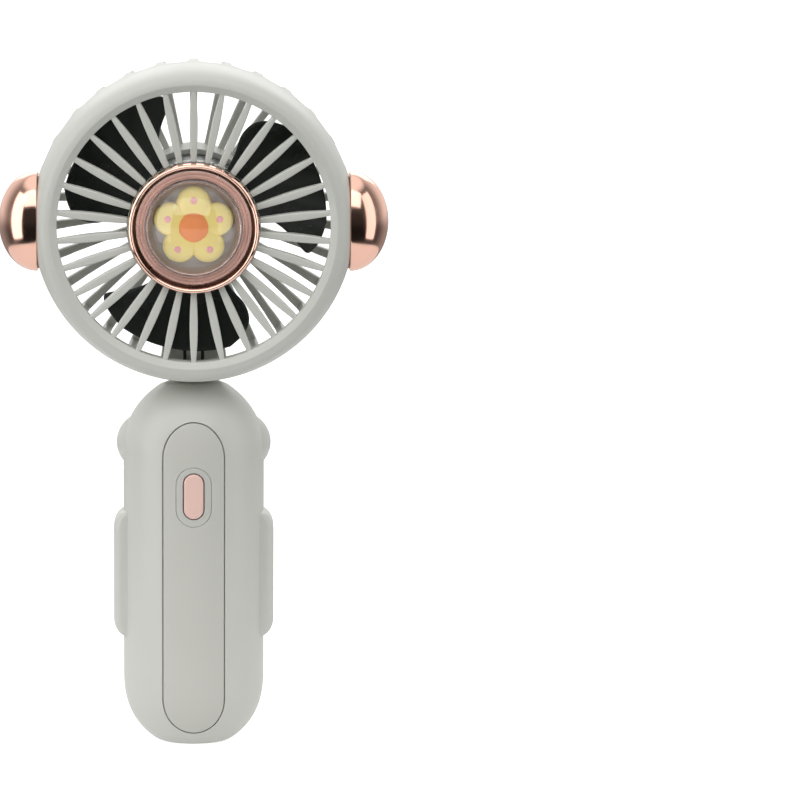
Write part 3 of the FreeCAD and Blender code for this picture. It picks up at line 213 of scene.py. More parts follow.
def piece(name, geometry, body, mat, nodes=(), sharp=32.0):
    """geometry is a list of (verts, faces) shells in mm, or an object already made."""
    if isinstance(geometry, bpy.types.Object):
        ob = geometry
        ob.name = name
    else:
        verts, faces = join(geometry)
        ob = raw(name, verts, faces)
        finish_mesh(ob, sharp)
    ob.data.materials.clear()
    ob.data.materials.append(M[mat])
    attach(ob, body)
    if nodes:
        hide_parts(*nodes)
    return ob


def join(shells):
    verts, faces, n = [], [], 0
    for v, f in shells:
        v = np.asarray(v, float).reshape(-1, 3)
        verts.append(v)
        faces += [tuple(i + n for i in face) for face in f]
        n += len(v)
    return np.concatenate(verts), faces


def loft(rings, closed_ring=True, cap=True, loop=False):
    """Skin over rings with equal counts. cap closes the ends, loop joins the last ring to the first."""
    rings = [np.asarray(r, float) for r in rings]
    n = len(rings[0])
    verts = np.concatenate(rings)
    faces = []
    m = len(rings)
    for i in range(m if loop else m - 1):
        a, b = i * n, ((i + 1) % m) * n
        for j in range(n if closed_ring else n - 1):
            k = (j + 1) % n
            faces.append((a + j, a + k, b + k, b + j))
    if cap and not loop:
        faces.append(tuple(range(n))[::-1])
        faces.append(tuple(range((m - 1) * n, m * n)))
    return verts, faces


def fillet(points, steps=5):
    """A closed outline of (x, y) or (x, y, radius) corners, with the radii turned into arcs."""
    out = []
    n = len(points)
    for i, p in enumerate(points):
        if len(p) == 2 or p[2] <= 0:
            out.append((p[0], p[1]))
            continue
        a, b, c = (np.array(points[(i + k) % n][:2], float) for k in (-1, 0, 1))
        u, w = a - b, c - b
        lu, lw = np.linalg.norm(u), np.linalg.norm(w)
        u, w = u / lu, w / lw
        cosang = float(np.clip(u @ w, -1, 1))
        half = math.acos(cosang) / 2
        if half > math.radians(89.5):
            out.append((p[0], p[1]))
            continue
        r = p[2]
        t = min(r / math.tan(half), lu * 0.49, lw * 0.49)
        r = t * math.tan(half)
        mid = (u + w) / np.linalg.norm(u + w)
        centre = b + mid * (r / math.sin(half))
        p1, p2 = b + u * t, b + w * t
        a1 = math.atan2(*(p1 - centre)[::-1])
        a2 = math.atan2(*(p2 - centre)[::-1])
        d = (a2 - a1 + math.pi) % (2 * math.pi) - math.pi
        for k in range(steps + 1):
            ang = a1 + d * k / steps
            out.append((centre[0] + r * math.cos(ang), centre[1] + r * math.sin(ang)))
    return out


def lathe(profile, n=240, centre=(0, HF, HL), closed=True):
    """Turns (radius, depth) points about the head's axis, or about a parallel one."""
    cx, cy, cz = centre
    th = np.linspace(0, 2 * math.pi, n, endpoint=False)
    verts, rows = [], []
    for r, s in profile:
        if r < 1e-6:
            rows.append([len(verts)])
            verts.append((cx, cy + s, cz))
        else:
            rows.append(list(range(len(verts), len(verts) + n)))
            for t in th:
                verts.append((cx + r * math.sin(t), cy + s, cz + r * math.cos(t)))
    faces = []
    pairs = list(zip(rows[:-1], rows[1:]))
    if closed:
        pairs.append((rows[-1], rows[0]))
    for a, b in pairs:
        if len(a) == 1 and len(b) == 1:
            continue
        for j in range(n):
            k = (j + 1) % n
            if len(a) == 1:
                faces.append((a[0], b[k], b[j]))
            elif len(b) == 1:
                faces.append((a[j], a[k], b[0]))
            else:
                faces.append((a[j], a[k], b[k], b[j]))
    return np.array(verts), faces


def rounded_rect(hw, hd, r, steps=3):
    """Corner-rounded rectangle outline, hw by hd half sizes, counter-clockwise."""
    pts = []
    for cx, cy, a0 in ((hw - r, hd - r, 0), (-hw + r, hd - r, 90), (-hw + r, -hd + r, 180), (hw - r, -hd + r, 270)):
        for k in range(steps + 1):
            a = math.radians(a0 + 90 * k / steps)
            pts.append((cx + r * math.cos(a), cy + r * math.sin(a)))
    return np.array(pts)


def bool_cut(ob, cutters, op="DIFFERENCE"):
    for c in cutters:
        m = ob.modifiers.new("cut", "BOOLEAN")
        m.operation = op
        m.solver = "EXACT"
        m.object = c
    dg = bpy.context.evaluated_depsgraph_get()
    me = bpy.data.meshes.new_from_object(ob.evaluated_get(dg), depsgraph=dg)
    old = ob.data
    ob.modifiers.clear()
    ob.data = me
    bpy.data.meshes.remove(old)
    for c in cutters:
        m = c.data
        bpy.data.objects.remove(c)
        if m.users == 0:
            bpy.data.meshes.remove(m)
    return ob


def solid(name, geometry):
    verts, faces = join(geometry)
    ob = raw(name, verts, faces)
    bm = bmesh.new()
    bm.from_mesh(ob.data)
    bmesh.ops.recalc_face_normals(bm, faces=bm.faces)
    bm.to_mesh(ob.data)
    bm.free()
    return ob


def box_geo(x0, x1, y0, y1, z0, z1):
    v = [(x, y, z) for x in (x0, x1) for y in (y0, y1) for z in (z0, z1)]
    f = [(0, 1, 3, 2), (4, 6, 7, 5), (0, 4, 5, 1), (2, 3, 7, 6), (0, 2, 6, 4), (1, 5, 7, 3)]
    return np.array(v, float), f


def form_normals(ob, normal_at, tolerance=0.75):
    """Gives the faces that lie on a known smooth form that form's own normals, so that cuts don't disturb its shine.
    normal_at(points in mm) returns (normals, distance from the form in mm)."""
    me = ob.data
    me.polygons.foreach_set("use_smooth", [True] * len(me.polygons))
    me.set_sharp_from_angle(angle=math.radians(32))
    me.update()
    nl = len(me.loops)
    base = np.zeros(nl * 3, np.float32)
    me.corner_normals.foreach_get("vector", base)
    base = base.reshape(-1, 3).astype(float)
    co = np.zeros(len(me.vertices) * 3)
    me.vertices.foreach_get("co", co)
    co = co.reshape(-1, 3) / MM
    nrm, dist = normal_at(co)
    vi = np.zeros(nl, np.int32)
    me.loops.foreach_get("vertex_index", vi)
    start = np.zeros(len(me.polygons), np.int32)
    total = np.zeros(len(me.polygons), np.int32)
    me.polygons.foreach_get("loop_start", start)
    me.polygons.foreach_get("loop_total", total)
    fn = np.zeros(len(me.polygons) * 3)
    me.polygons.foreach_get("normal", fn)
    fn = fn.reshape(-1, 3)
    out = base.copy()
    for p in range(len(start)):
        sl = slice(start[p], start[p] + total[p])
        v = vi[sl]
        if np.all(np.abs(dist[v]) < 0.06):
            g = nrm[v]
            if np.all(g @ fn[p] > tolerance):
                out[sl] = g
    me.normals_split_custom_set([tuple(n) for n in out])


# ------------------------------------------------------------------ the handle's form
A, DEPTH = 20.45, 16.5 / 20.45


def half_width(z):
    z = np.asarray(z, float)
    foot = 10.3 + 10.15 * np.clip(1 - np.clip(1 - z / 21.5, 0, 1) ** 2.768, 0, None) ** (1 / 1.2)
    top = A * np.clip(1 - np.clip((z - 87.0) / 22.34, 0, 1) ** 2.076, 0, None) ** (1 / 1.536)
    return np.where(z < 21.5, foot, np.where(z > 87.0, top, A))


CROWN = [(9.05, 105.95), (7.6, 106.32), (5.8, 106.58), (3.8, 106.73), (1.9, 106.79), (0.0, 106.8)]


def handle_profile():
    z = [0.0, 0.06, 0.2, 0.45, 0.8, 1.2, 1.7, 2.3, 3.0, 3.8, 4.7, 5.7, 6.8, 8.0, 9.3, 10.7, 12.2, 13.8, 15.5, 17.3, 19.2, 21.5]
    z += list(np.linspace(23.5, 86.0, 46)) + [87.0]
    t = np.linspace(0, 1, 40)[1:]
    z += [87.0 + 18.4 * (1 - (1 - k) ** 1.35) for k in t]
    pts = [(float(half_width(v)), float(v)) for v in z]
    return pts + CROWN[1:]


def inset_profile(pts, inset):
    out = []
    for i, (r, z) in enumerate(pts):
        a, b = pts[max(i - 1, 0)], pts[min(i + 1, len(pts) - 1)]
        dr, dz = b[0] - a[0], b[1] - a[1]
        n = math.hypot(dr, dz) or 1.0
        out.append((r - inset * dz / n, z + inset * dr / n))
    keep = [p for p in out if p[0] > 0.4 and p[1] > inset]
    top = pts[-1][1] - inset
    keep = [p for p in keep if p[1] < top - 0.02]
    return [(keep[0][0] - 1.2, inset)] + keep + [(0.0, top)]


def oval(profile, n=224, ratio=DEPTH, foot_centre=True):
    th = np.linspace(0, 2 * math.pi, n, endpoint=False)
    pts = ([(0.0, profile[0][1])] if foot_centre else []) + list(profile)
    verts, rows = [], []
    for r, z in pts:
        if r < 1e-6:
            rows.append([len(verts)])
            verts.append((0, 0, z))
        else:
            rows.append(list(range(len(verts), len(verts) + n)))
            verts += [(r * math.cos(t), r * ratio * math.sin(t), z) for t in th]
    faces = []
    for a, b in zip(rows[:-1], rows[1:]):
        for j in range(n):
            k = (j + 1) % n
            if len(a) == 1:
                faces.append((a[0], b[k], b[j]))
            elif len(b) == 1:
                faces.append((a[j], a[k], b[0]))
            else:
                faces.append((a[j], a[k], b[k], b[j]))
    return np.array(verts, float), faces


PROFILE = handle_profile()
_zs = np.array([p[1] for p in PROFILE])
_rs = np.array([p[0] for p in PROFILE])


def width_at(z):
    return np.interp(z, _zs, _rs)


def handle_normal(co):
    """Normals of the handle's outer form at points, and how far the points are from it."""
    x, y, z = co[:, 0], co[:, 1], co[:, 2]
    a = width_at(z)
    rho = np.sqrt(x**2 + (y / DEPTH) ** 2)
    h = 0.05
    da = (np.interp(z + h, _zs, _rs) - np.interp(z - h, _zs, _rs)) / (2 * h)
    g = np.stack([x / np.maximum(rho, 1e-6), y / (DEPTH**2 * np.maximum(rho, 1e-6)), -da], 1)
    length = np.linalg.norm(g, axis=1)
    dist = (rho - a) / length
    flat = (z > 106.0) | (z < 0.03)
    dist = np.where(flat, 1.0, dist)
    return g / length[:, None], dist


def surface_y(x, z, front=True, inset=0.0):
    """Where the handle's front (or rear) surface is at x, z."""
    a = width_at(z)
    y = DEPTH * np.sqrt(np.maximum(a**2 - x**2, 0.01))
    return -(y - inset) if front else y - inset


def capsule(w, zlo, zhi, e=None, arc=24, side=10):
    """Points round a capsule in the x-z plane: top arc, right side, bottom arc, left side."""
    e = w if e is None else e
    pts = []
    for k in range(arc):
        t = math.pi - math.pi * k / arc
        pts.append((w * math.cos(t), zhi - e + e * math.sin(t)))
    for k in range(side):
        pts.append((w, zhi - e + (zlo + e - zhi + e) * k / side))
    for k in range(arc):
        t = -math.pi * k / arc
        pts.append((w * math.cos(t), zlo + e + e * math.sin(t)))
    for k in range(side):
        pts.append((-w, zlo + e + (zhi - e - zlo - e) * k / side))
    return np.array(pts)


PANEL = dict(w=8.8, zlo=4.3, zhi=96.7, e=10.5)
BEZEL = dict(w=5.1, zlo=66.4, zhi=83.9, e=5.1)
HOLE = dict(w=3.13, zlo=68.5, zhi=82.3, e=3.13)
BUTTON = dict(w=2.83, zlo=68.8, zhi=82.0, e=2.83)
SIDES = 60


def outline(spec, grow=0.0, arc=36, side=SIDES):
    return capsule(spec["w"] + grow, spec["zlo"] - grow, spec["zhi"] + grow, spec["e"] + grow, arc, side)


def on_form(ring, inset=0.0, y=None):
    x, z = ring[:, 0], ring[:, 1]
    yy = surface_y(x, z, True, inset) if y is None else np.full(len(x), y)
    return np.stack([x, yy, z], 1)


def plate(outer, hole, top, under, soften=0.18, rings=26):
    """A plate let into the handle's front between two outlines: top and under are insets from the form."""
    o, h = outline(outer), outline(hole)
    out = []
    # hole wall from below, its softened edge, the face, the outer softened edge, the outer wall
    out.append(on_form(h, under))
    out.append(on_form(h, top + soften))
    for k in (1, 2, 3):
        a = math.pi / 2 * k / 3
        out.append(on_form(outline(hole, soften * (1 - math.cos(a))), top + soften * (1 - math.sin(a))))
    hi, oi = outline(hole, soften), outline(outer, -soften)
    for k in range(1, rings):
        t = k / rings
        t = t**1.15
        out.append(on_form(hi * (1 - t) + oi * t, top))
    for k in (0, 1, 2, 3):
        a = math.pi / 2 * k / 3
        out.append(on_form(outline(outer, -soften * (1 - math.sin(a))), top + soften * (1 - math.cos(a))))
    out.append(on_form(o, under))
    for k in range(1, rings // 2):
        t = k / (rings // 2)
        out.append(on_form(o * (1 - t) + h * t, under))
    return loft(out, loop=True)


# ------------------------------------------------------------------ handle shells
def handle_block():
    outer_v, outer_f = oval(PROFILE)
    inner_v, inner_f = oval(inset_profile(PROFILE, 2.2), n=160, ratio=14.3 / 18.25)
    inner_f = [f[::-1] for f in inner_f]
    ob = raw("handle_form", *join([(outer_v, outer_f), (inner_v, inner_f)]))
    return ob


def prism_cutter(spec, grow, floor_inset, flare=0.16, rings=30):
    """Cutter for the panel's seat: a floor that follows the form, walls along the outline, and a slight flare at the surface."""
    full = outline(spec, grow)
    x, z = full[:, 0], full[:, 1]
    centre = np.stack([np.zeros(len(x)), np.clip(z, spec["zlo"] + spec["e"], spec["zhi"] - spec["e"])], 1)
    out = []
    for k in range(1, rings + 1):
        t = k / rings
        out.append(on_form(centre * (1 - t) + full * t, floor_inset))
    out.append(on_form(full, flare))
    out.append(on_form(outline(spec, grow + flare * 1.0), 0.0))
    out.append(on_form(outline(spec, grow + flare + 0.6), -0.8))
    out.append(on_form(outline(spec, grow + flare + 0.6), None, y=-22.0))
    v, f = loft(out, cap=False)
    n = len(full)
    # close the floor along the middle line and the far end
    f = list(f)
    first = list(range(n))
    f += stitch(first)
    f.append(tuple(range(len(v) - n, len(v))))
    return v, f


def stitch(ring):
    """Fills a thin closed ring whose two halves run side by side, arc first."""
    n = len(ring)
    faces = []
    arc, side = 36, SIDES
    # opposite points: top arc folds on itself, the sides face each other
    a, b = 0, arc - 0
    lo, hi = 0, arc
    while hi - lo > 2:
        faces.append((ring[lo], ring[lo + 1], ring[hi - 1], ring[hi]))
        lo, hi = lo + 1, hi - 1
    if hi - lo == 2:
        faces.append((ring[lo], ring[lo + 1], ring[hi]))
    lo, hi = arc + side, 2 * arc + side
    while hi - lo > 2:
        faces.append((ring[lo], ring[lo + 1], ring[hi - 1], ring[hi]))
        lo, hi = lo + 1, hi - 1
    if hi - lo == 2:
        faces.append((ring[lo], ring[lo + 1], ring[hi]))
    for k in range(side):
        r0, r1 = arc + k, arc + k + 1
        l0, l1 = (n - k) % n, (n - k - 1) % n
        faces.append((ring[r0], ring[r1], ring[l1], ring[l0]))
    return [f[::-1] for f in faces]


def cylinder_y(cx, cz, r, y0, y1, n=64, flare=0.0, flare_at=None):
    """A closed cylinder along Y. The flare and flare_at arguments are not used."""
    th = np.linspace(0, 2 * math.pi, n, endpoint=False)
    rings = [np.stack([cx + r * np.cos(th), np.full(n, y0), cz + r * np.sin(th)], 1)]
    rings.append(np.stack([cx + r * np.cos(th), np.full(n, y1), cz + r * np.sin(th)], 1))
    return loft(rings)


form = handle_block()
form.data.validate()


def slot_cutter():
    """The U slot for the hinge: walls and a round bottom. Its soft lip where it meets the form is cut by lip_cutter."""
    w, zc, front = 6.45, 85.5, 0.65
    arc = [(w * math.sin(a), zc - w * math.cos(a)) for a in np.linspace(-math.pi / 2, math.pi / 2, 41)]
    pts = [(-w, 112.0)] + arc + [(w, 112.0)]
    ring0 = np.array([(x, front, z) for x, z in pts])
    ring1 = np.array([(x, 30.0, z) for x, z in pts])
    return loft([ring0, ring1])


def lip_cutter():
    """Softens the slot's edge: a thin flare that follows the form's surface."""
    w, zc = 6.45, 85.5
    rows = []
    for k, (grow, sink) in enumerate([(-0.3, 1.3), (0.0, 0.55), (0.07, 0.3), (0.2, 0.12), (0.42, 0.0), (1.3, -0.35), (1.3, -6.0)]):
        arc = [((w + grow) * math.sin(a), zc - (w + grow) * math.cos(a)) for a in np.linspace(-math.pi / 2, math.pi / 2, 41)]
        straight = np.linspace(zc, 105.4, 40)[1:]
        pts = [(-(w + grow), z) for z in straight[::-1]] + arc + [(w + grow, z) for z in straight]
        pts = np.array(pts)
        y = surface_y(pts[:, 0], pts[:, 1], front=False, inset=sink)
        rows.append(np.stack([pts[:, 0], y, pts[:, 1]], 1))
    return loft(rows)


def recess_cutter(x, r=2.7, floor=4.0):
    """A screw recess with a softened mouth."""
    th = np.linspace(0, 2 * math.pi, 56, endpoint=False)
    rows = []
    cx, cz = x, 87.7
    rows.append(np.stack([cx + r * np.cos(th), np.full(56, floor), cz + r * np.sin(th)], 1))
    for grow, sink in [(0.0, 0.42), (0.04, 0.26), (0.13, 0.1), (0.3, 0.0), (0.9, -0.3), (0.9, -5.0)]:
        px, pz = cx + (r + grow) * np.cos(th), cz + (r + grow) * np.sin(th)
        rows.append(np.stack([px, surface_y(px, pz, False, sink), pz], 1))
    return loft(rows)


def grown(spec, g):
    return dict(w=spec["w"] + g, zlo=spec["zlo"] - g, zhi=spec["zhi"] + g, e=spec["e"] + g)


def bar_box(x0, x1, y0, y1, z0, z1, r, axis="z", steps=3):
    """A box with its long edges rounded, running along one axis."""
    if axis == "z":
        sec = rounded_rect((x1 - x0) / 2, (y1 - y0) / 2, r, steps) + ((x0 + x1) / 2, (y0 + y1) / 2)
        rings = [np.stack([sec[:, 0], sec[:, 1], np.full(len(sec), z)], 1) for z in (z0, z1)]
    elif axis == "y":
        sec = rounded_rect((x1 - x0) / 2, (z1 - z0) / 2, r, steps) + ((x0 + x1) / 2, (z0 + z1) / 2)
        rings = [np.stack([sec[:, 0], np.full(len(sec), y), sec[:, 1]], 1) for y in (y0, y1)]
    else:
        sec = rounded_rect((y1 - y0) / 2, (z1 - z0) / 2, r, steps) + ((y0 + y1) / 2, (z0 + z1) / 2)
        rings = [np.stack([np.full(len(sec), x), sec[:, 0], sec[:, 1]], 1) for x in (x0, x1)]
    return loft(rings)


PORT_Y = -5.35


def port_cutter(grow=0.0):
    """The socket's mouth in the foot, with a slight flare."""
    rows = []
    for z, g in ((4.4, 0.0), (0.28, 0.0), (0.1, 0.06), (-0.05, 0.22), (-1.0, 0.22)):
        sec = rounded_rect(4.75 + g, 1.8 + g, 1.55 + g, 6) + (0, PORT_Y)
        rows.append(np.stack([sec[:, 0], sec[:, 1], np.full(len(sec), z)], 1))
    return loft(rows)


cutters = [
    solid("c_panel", [prism_cutter(PANEL, 0.3, 1.3)]),
    solid("c_hole", [loft([on_form(outline(grown(HOLE, 0.02)), None, y=y) for y in (-22.0, -8.0)])]),
    solid("c_slot", [slot_cutter()]),
    solid("c_lip", [lip_cutter()]),
    solid("c_scrl", [recess_cutter(-13.9)]),
    solid("c_scrr", [recess_cutter(13.9)]),
    solid("c_port", [port_cutter()]),
]
# the solid block round the slot and the tubes over the screws are joined to the shell first
inner_block = solid("block", [oval(inset_profile(PROFILE, 1.0), n=96)])
cut_box = solid("block_box", [box_geo(-12.2, 12.2, -1.0, 30, 77.6, 120)])
bool_cut(inner_block, [cut_box], "INTERSECT")
bool_cut(form, [inner_block], "UNION")
for x in (-13.9, 13.9):
    tube = solid("tube", [oval(inset_profile(PROFILE, 1.0), n=96)])
    bool_cut(tube, [solid("tube_in", [cylinder_y(x, 87.7, 3.6, -1.0, 30)])], "INTERSECT")
    bool_cut(form, [tube], "UNION")
bool_cut(form, cutters)

front_half = form
rear_half = bpy.data.objects.new("rear_half", form.data.copy())
bpy.context.scene.collection.objects.link(rear_half)
bool_cut(front_half, [solid("keep_front", [box_geo(-40, 40, -40, -1.025, -5, 120)])], "INTERSECT")
bool_cut(rear_half, [solid("keep_rear", [box_geo(-40, 40, -0.975, 40, -5, 120)])], "INTERSECT")
form_normals(front_half, handle_normal)
form_normals(rear_half, handle_normal)
piece("grip_front", front_half, "handle", "shell", ["handle_front_shell"])
piece("grip_rear", rear_half, "handle", "shell", ["handle_rear_shell"])

# the block that holds the hinge: the slot's walls and floor, and a tongue across the parting line
hinge_block = solid("hinge_block", [oval(inset_profile(PROFILE, 1.0), n=96)])
bool_cut(hinge_block, [solid("block_limits", [box_geo(-12.2, 12.2, -1.4, 30, 77.6, 120)])], "INTERSECT")
slot_arc = [(6.48 * math.sin(a), 85.5 - 6.48 * math.cos(a)) for a in np.linspace(-math.pi / 2, math.pi / 2, 41)]
slot_ring = [(-6.48, 112.0)] + slot_arc + [(6.48, 112.0)]
slot_room = loft([np.array([(x, y, z) for x, z in slot_ring]) for y in (0.62, 30.0)])
bool_cut(hinge_block, [solid("slot_room", [slot_room])])
for x in (-13.9, 13.9):
    bool_cut(hinge_block, [solid("screw_room", [cylinder_y(x, 87.7, 3.55, -3.0, 30)])])
finish_mesh(hinge_block, 40)
piece("grip_hinge_block", hinge_block, "handle", "shell", ())

# front panel with its button bezel
piece("grip_panel", [plate(PANEL, grown(BEZEL, 0.05), 0.02, 1.28, soften=0.16, rings=30)], "handle", "panel", ["front_panel"], sharp=50)
piece("grip_bezel", [plate(grown(BEZEL, -0.05), HOLE, 0.0, 1.25, soften=0.14, rings=8)], "handle", "bezel", ["button_bezel"], sharp=50)


def button():
    rings = []
    for y, spec in ((-12.75, dict(w=3.7, zlo=67.9, zhi=82.9, e=3.7)), (-13.6, dict(w=3.7, zlo=67.9, zhi=82.9, e=3.7))):
        rings.append(on_form(outline(spec, 0, 20, 10), None, y=y))
    rings.append(on_form(outline(BUTTON, 0, 20, 10), None, y=-13.62))
    r = 0.55
    for k in range(7):
        a = math.pi / 2 * k / 6
        rings.append(on_form(outline(BUTTON, -r * (1 - math.cos(a)), 20, 10), None, y=-16.35 - r * math.sin(a)))
    for k in (1, 2, 3, 4):
        rings.append(on_form(outline(BUTTON, -r - 0.5 * k, 20, 10), None, y=-16.9 - 0.014 * k))
    return loft(rings)


piece("push_button", [button()], "button", "button", ["power_button"], sharp=40)


def side_pad(s):
    """A raised bar on the grip's side: an oval-cornered outline seen from the front, its edges rounded along the
    outline and its two ends left flat.
    """
    zlo, zhi, foot, reach, d = 31.2, 68.6, 17.9, 23.3, 5.5
    rx, rz = reach - 19.3, 5.6
    rings = []
    zs = []
    for k in range(15):
        a = math.pi / 2 * k / 14
        zs.append((zlo + rz * (1 - math.cos(a)), reach - rx * (1 - math.sin(a))))
    for k in range(1, 12):
        zs.append((zlo + rz + (zhi - zlo - 2 * rz) * k / 12, reach))
    for k in range(15):
        a = math.pi / 2 * (1 - k / 14)
        zs.append((zhi - rz * (1 - math.cos(a)), reach - rx * (1 - math.sin(a))))
    for z, x1 in zs:
        dd = d - 0.55 * (1 - math.sin(math.acos(min(1, max(0, (reach - x1) / rx))))) * 0
        edge = 2.3
        sec = []
        cx = x1 - edge
        for k in range(9):
            a = math.pi / 2 * k / 8
            sec.append((cx + edge * math.sin(a), -dd + edge * (1 - math.cos(a))))
        for k in range(1, 8):
            sec.append((x1, -dd + edge + (2 * dd - 2 * edge) * k / 8))
        for k in range(9):
            a = math.pi / 2 * (1 - k / 8)
            sec.append((cx + edge * math.sin(a), dd - edge * (1 - math.cos(a))))
        sec.append((foot, dd))
        sec.append((foot, -dd))
        rings.append(np.array([(s * x, y, z) for x, y in sec]))
    if s < 0:
        rings = [r[::-1] for r in rings]
    # a helper to soften the two flat ends; it is not called, so the ends stay flat
    def shrink(ring, by, dz):
        c = ring.mean(0)
        out = ring.copy()
        out[:, 1] = c[1] + (ring[:, 1] - c[1]) * (1 - by / d)
        out[:, 2] += dz
        return out
    return loft(rings)


piece("side_pad_l", [side_pad(-1)], "handle", "shell", ["side_pad_left"], sharp=48)
piece("side_pad_r", [side_pad(1)], "handle", "shell", ["side_pad_right"], sharp=48)


def knuckle(s):
    """The domed cap beside the hinge: part of a ball."""
    R, tip, foot = 8.72, 22.45, 17.7
    cx = tip - R
    n = 96
    th = np.linspace(0, 2 * math.pi, n, endpoint=False)
    rings = []
    a0 = math.acos((foot - cx) / R)
    for k in range(22):
        a = a0 * (1 - k / 21)
        r = R * math.sin(a)
        x = cx + R * math.cos(a)
        if k == 21:
            r, x = 0.12, tip - 0.001
        rings.append(np.stack([np.full(n, s * x), 2.6 + r * np.cos(th), 88.0 + r * np.sin(th)], 1))
    if s < 0:
        rings = [r[::-1] for r in rings]
    return loft(rings)


piece("knuckle_l", [knuckle(-1)], "handle", "shell", ["hinge_cap_left"], sharp=50)
piece("knuckle_r", [knuckle(1)], "handle", "shell", ["hinge_cap_right"], sharp=50)


def screw(x):
    """A small pan head with a cross recess, on its shank."""
    z, floor = 87.7, 4.0
    prof = fillet([(0.0, floor + 1.35), (1.2, floor + 1.5), (2.2, floor + 1.1, 0.3), (2.2, floor), (1.05, floor), (1.05, floor - 11.0), (0.5, floor - 11.5), (0.0, floor - 11.5)], 4)
    v, f = lathe([(r, s) for r, s in prof], 48, (x, 0, z), closed=False)
    ob = solid("screw", [(v, f)])
    cuts = []
    for w, h in ((0.34, 1.25), (1.25, 0.34)):
        g = []
        for k, y in enumerate((floor + 0.55, floor + 2.2)):
            grow = 0.55 if k == 0 else 1.0
            g.append(np.array([(x + sx * (w if w < h else w * grow), y, z + sz * (h if h < w else h * grow)) for sx, sz in ((-1, -1), (1, -1), (1, 1), (-1, 1))]))
        cuts.append(solid("x", [loft(g)]))
    bool_cut(ob, cuts)
    return ob


def merged(objects, name):
    bpy.ops.object.select_all(action="DESELECT")
    for o in objects:
        o.select_set(True)
    bpy.context.view_layer.objects.active = objects[0]
    bpy.ops.object.join()
    objects[0].name = name
    return objects[0]


screws = merged([screw(-13.9), screw(13.9)], "grip_screws")
finish_mesh(screws, 35)
piece("grip_screws", screws, "handle", "screw", ["handle_screws"])


# ------------------------------------------------------------------ head helpers
def smooth(points, per=4):
    """A soft curve through 2-D points (Catmull-Rom)."""
    p = [np.array(q, float) for q in points]
    p = [2 * p[0] - p[1]] + p + [2 * p[-1] - p[-2]]
    out = []
    for i in range(1, len(p) - 2):
        for k in range(per):
            t = k / per
            a, b, c, d = p[i - 1], p[i], p[i + 1], p[i + 2]
            out.append(0.5 * (2 * b + (c - a) * t + (2 * a - 5 * b + 4 * c - d) * t**2 + (3 * b - a - 3 * c + d) * t**3))
    out.append(p[-2])
    return [tuple(q) for q in out]


def arc3(p0, p1, p2, n):
    """n steps along the arc through three points, ends included."""
    (ax, ay), (bx, by), (cx, cy) = p0, p1, p2
    d = 2 * (ax * (by - cy) + bx * (cy - ay) + cx * (ay - by))
    ux = ((ax**2 + ay**2) * (by - cy) + (bx**2 + by**2) * (cy - ay) + (cx**2 + cy**2) * (ay - by)) / d
    uy = ((ax**2 + ay**2) * (cx - bx) + (bx**2 + by**2) * (ax - cx) + (cx**2 + cy**2) * (bx - ax)) / d
    r = math.hypot(ax - ux, ay - uy)
    t0, t1, t2 = (math.atan2(y - uy, x - ux) for x, y in (p0, p1, p2))
    d1 = (t1 - t0) % (2 * math.pi)
    d2 = (t2 - t0) % (2 * math.pi)
    if d1 > d2:
        d2 -= 2 * math.pi
    return [(ux + r * math.cos(t0 + d2 * k / n), uy + r * math.sin(t0 + d2 * k / n)) for k in range(n + 1)]


def at_head(r, s, a):
    """Point at radius r, depth s and clockwise angle a (radians) from the top, seen from the front."""
    return np.array([r * math.sin(a), HF + s, HL + r * math.cos(a)])


# ------------------------------------------------------------------ front casing
RIM_OUT = smooth([(42.1, 0.1), (43.2, 0.5), (44.25, 1.3), (44.95, 2.45), (45.48, 3.8), (45.95, 5.5), (46.25, 7.2), (46.42, 8.8), (46.5, 10.3)], 4)


def rim_profile():
    """One closed outline: duct wall, bevel, ridge, the full outer side, the seam and the inner side."""
    front = [(40.7, 12.0, 0.25), (39.4, 4.3, 6.0), (39.4, 0.97, 0.25), (41.4, -0.02, 0.4)]
    inner = [(46.5, 10.5, 0.14), (44.7, 10.5), (44.7, 5.2, 1.0), (43.1, 2.8), (40.5, 2.8), (40.5, 4.3, 4.0), (41.8, 12.0, 0.25)]
    return fillet(front + RIM_OUT + inner, 6)


def spoke(angle):
    rows = []
    for r in (18.9, 20.0, 21.5, 23.0, 24.6, 26.3, 28.0, 29.8, 31.6, 33.4, 35.2, 36.9, 38.2, 39.2, 40.1):
        if r < 29.6:
            w = 0.8 + 0.38 * math.sin(math.pi / 2 * (r - 18.9) / 10.7)
        else:
            w = 1.18 - 0.56 * (1 - math.cos(math.pi / 2 * (r - 29.6) / 10.5))
        sec = rounded_rect(w, 1.5, min(0.42, w * 0.5), 4)
        ca, sa = math.cos(angle), math.sin(angle)
        rows.append(np.array([(u * ca + r * sa, HF + 2.5 + d, HL - u * sa + r * ca) for u, d in sec]))
    return loft(rows)


def ear_prism(side, grow, x0, x1, n=96, turn=0.0):
    th = np.linspace(0, 2 * math.pi, n, endpoint=False) + turn
    rings = [np.stack([np.full(n, side * x), HF + 13.0 + (10.5 + grow) * np.cos(th), HL + (14.6 + grow) * np.sin(th)], 1) for x in (x0, x1)]
    return loft(rings)


rim = solid("rim", [lathe(rim_profile(), 360)])
bool_cut(rim, [solid("ef%d" % k, [ear_prism(s, 0.25, 45.017, 61.3)]) for k, s in enumerate((-1, 1))])


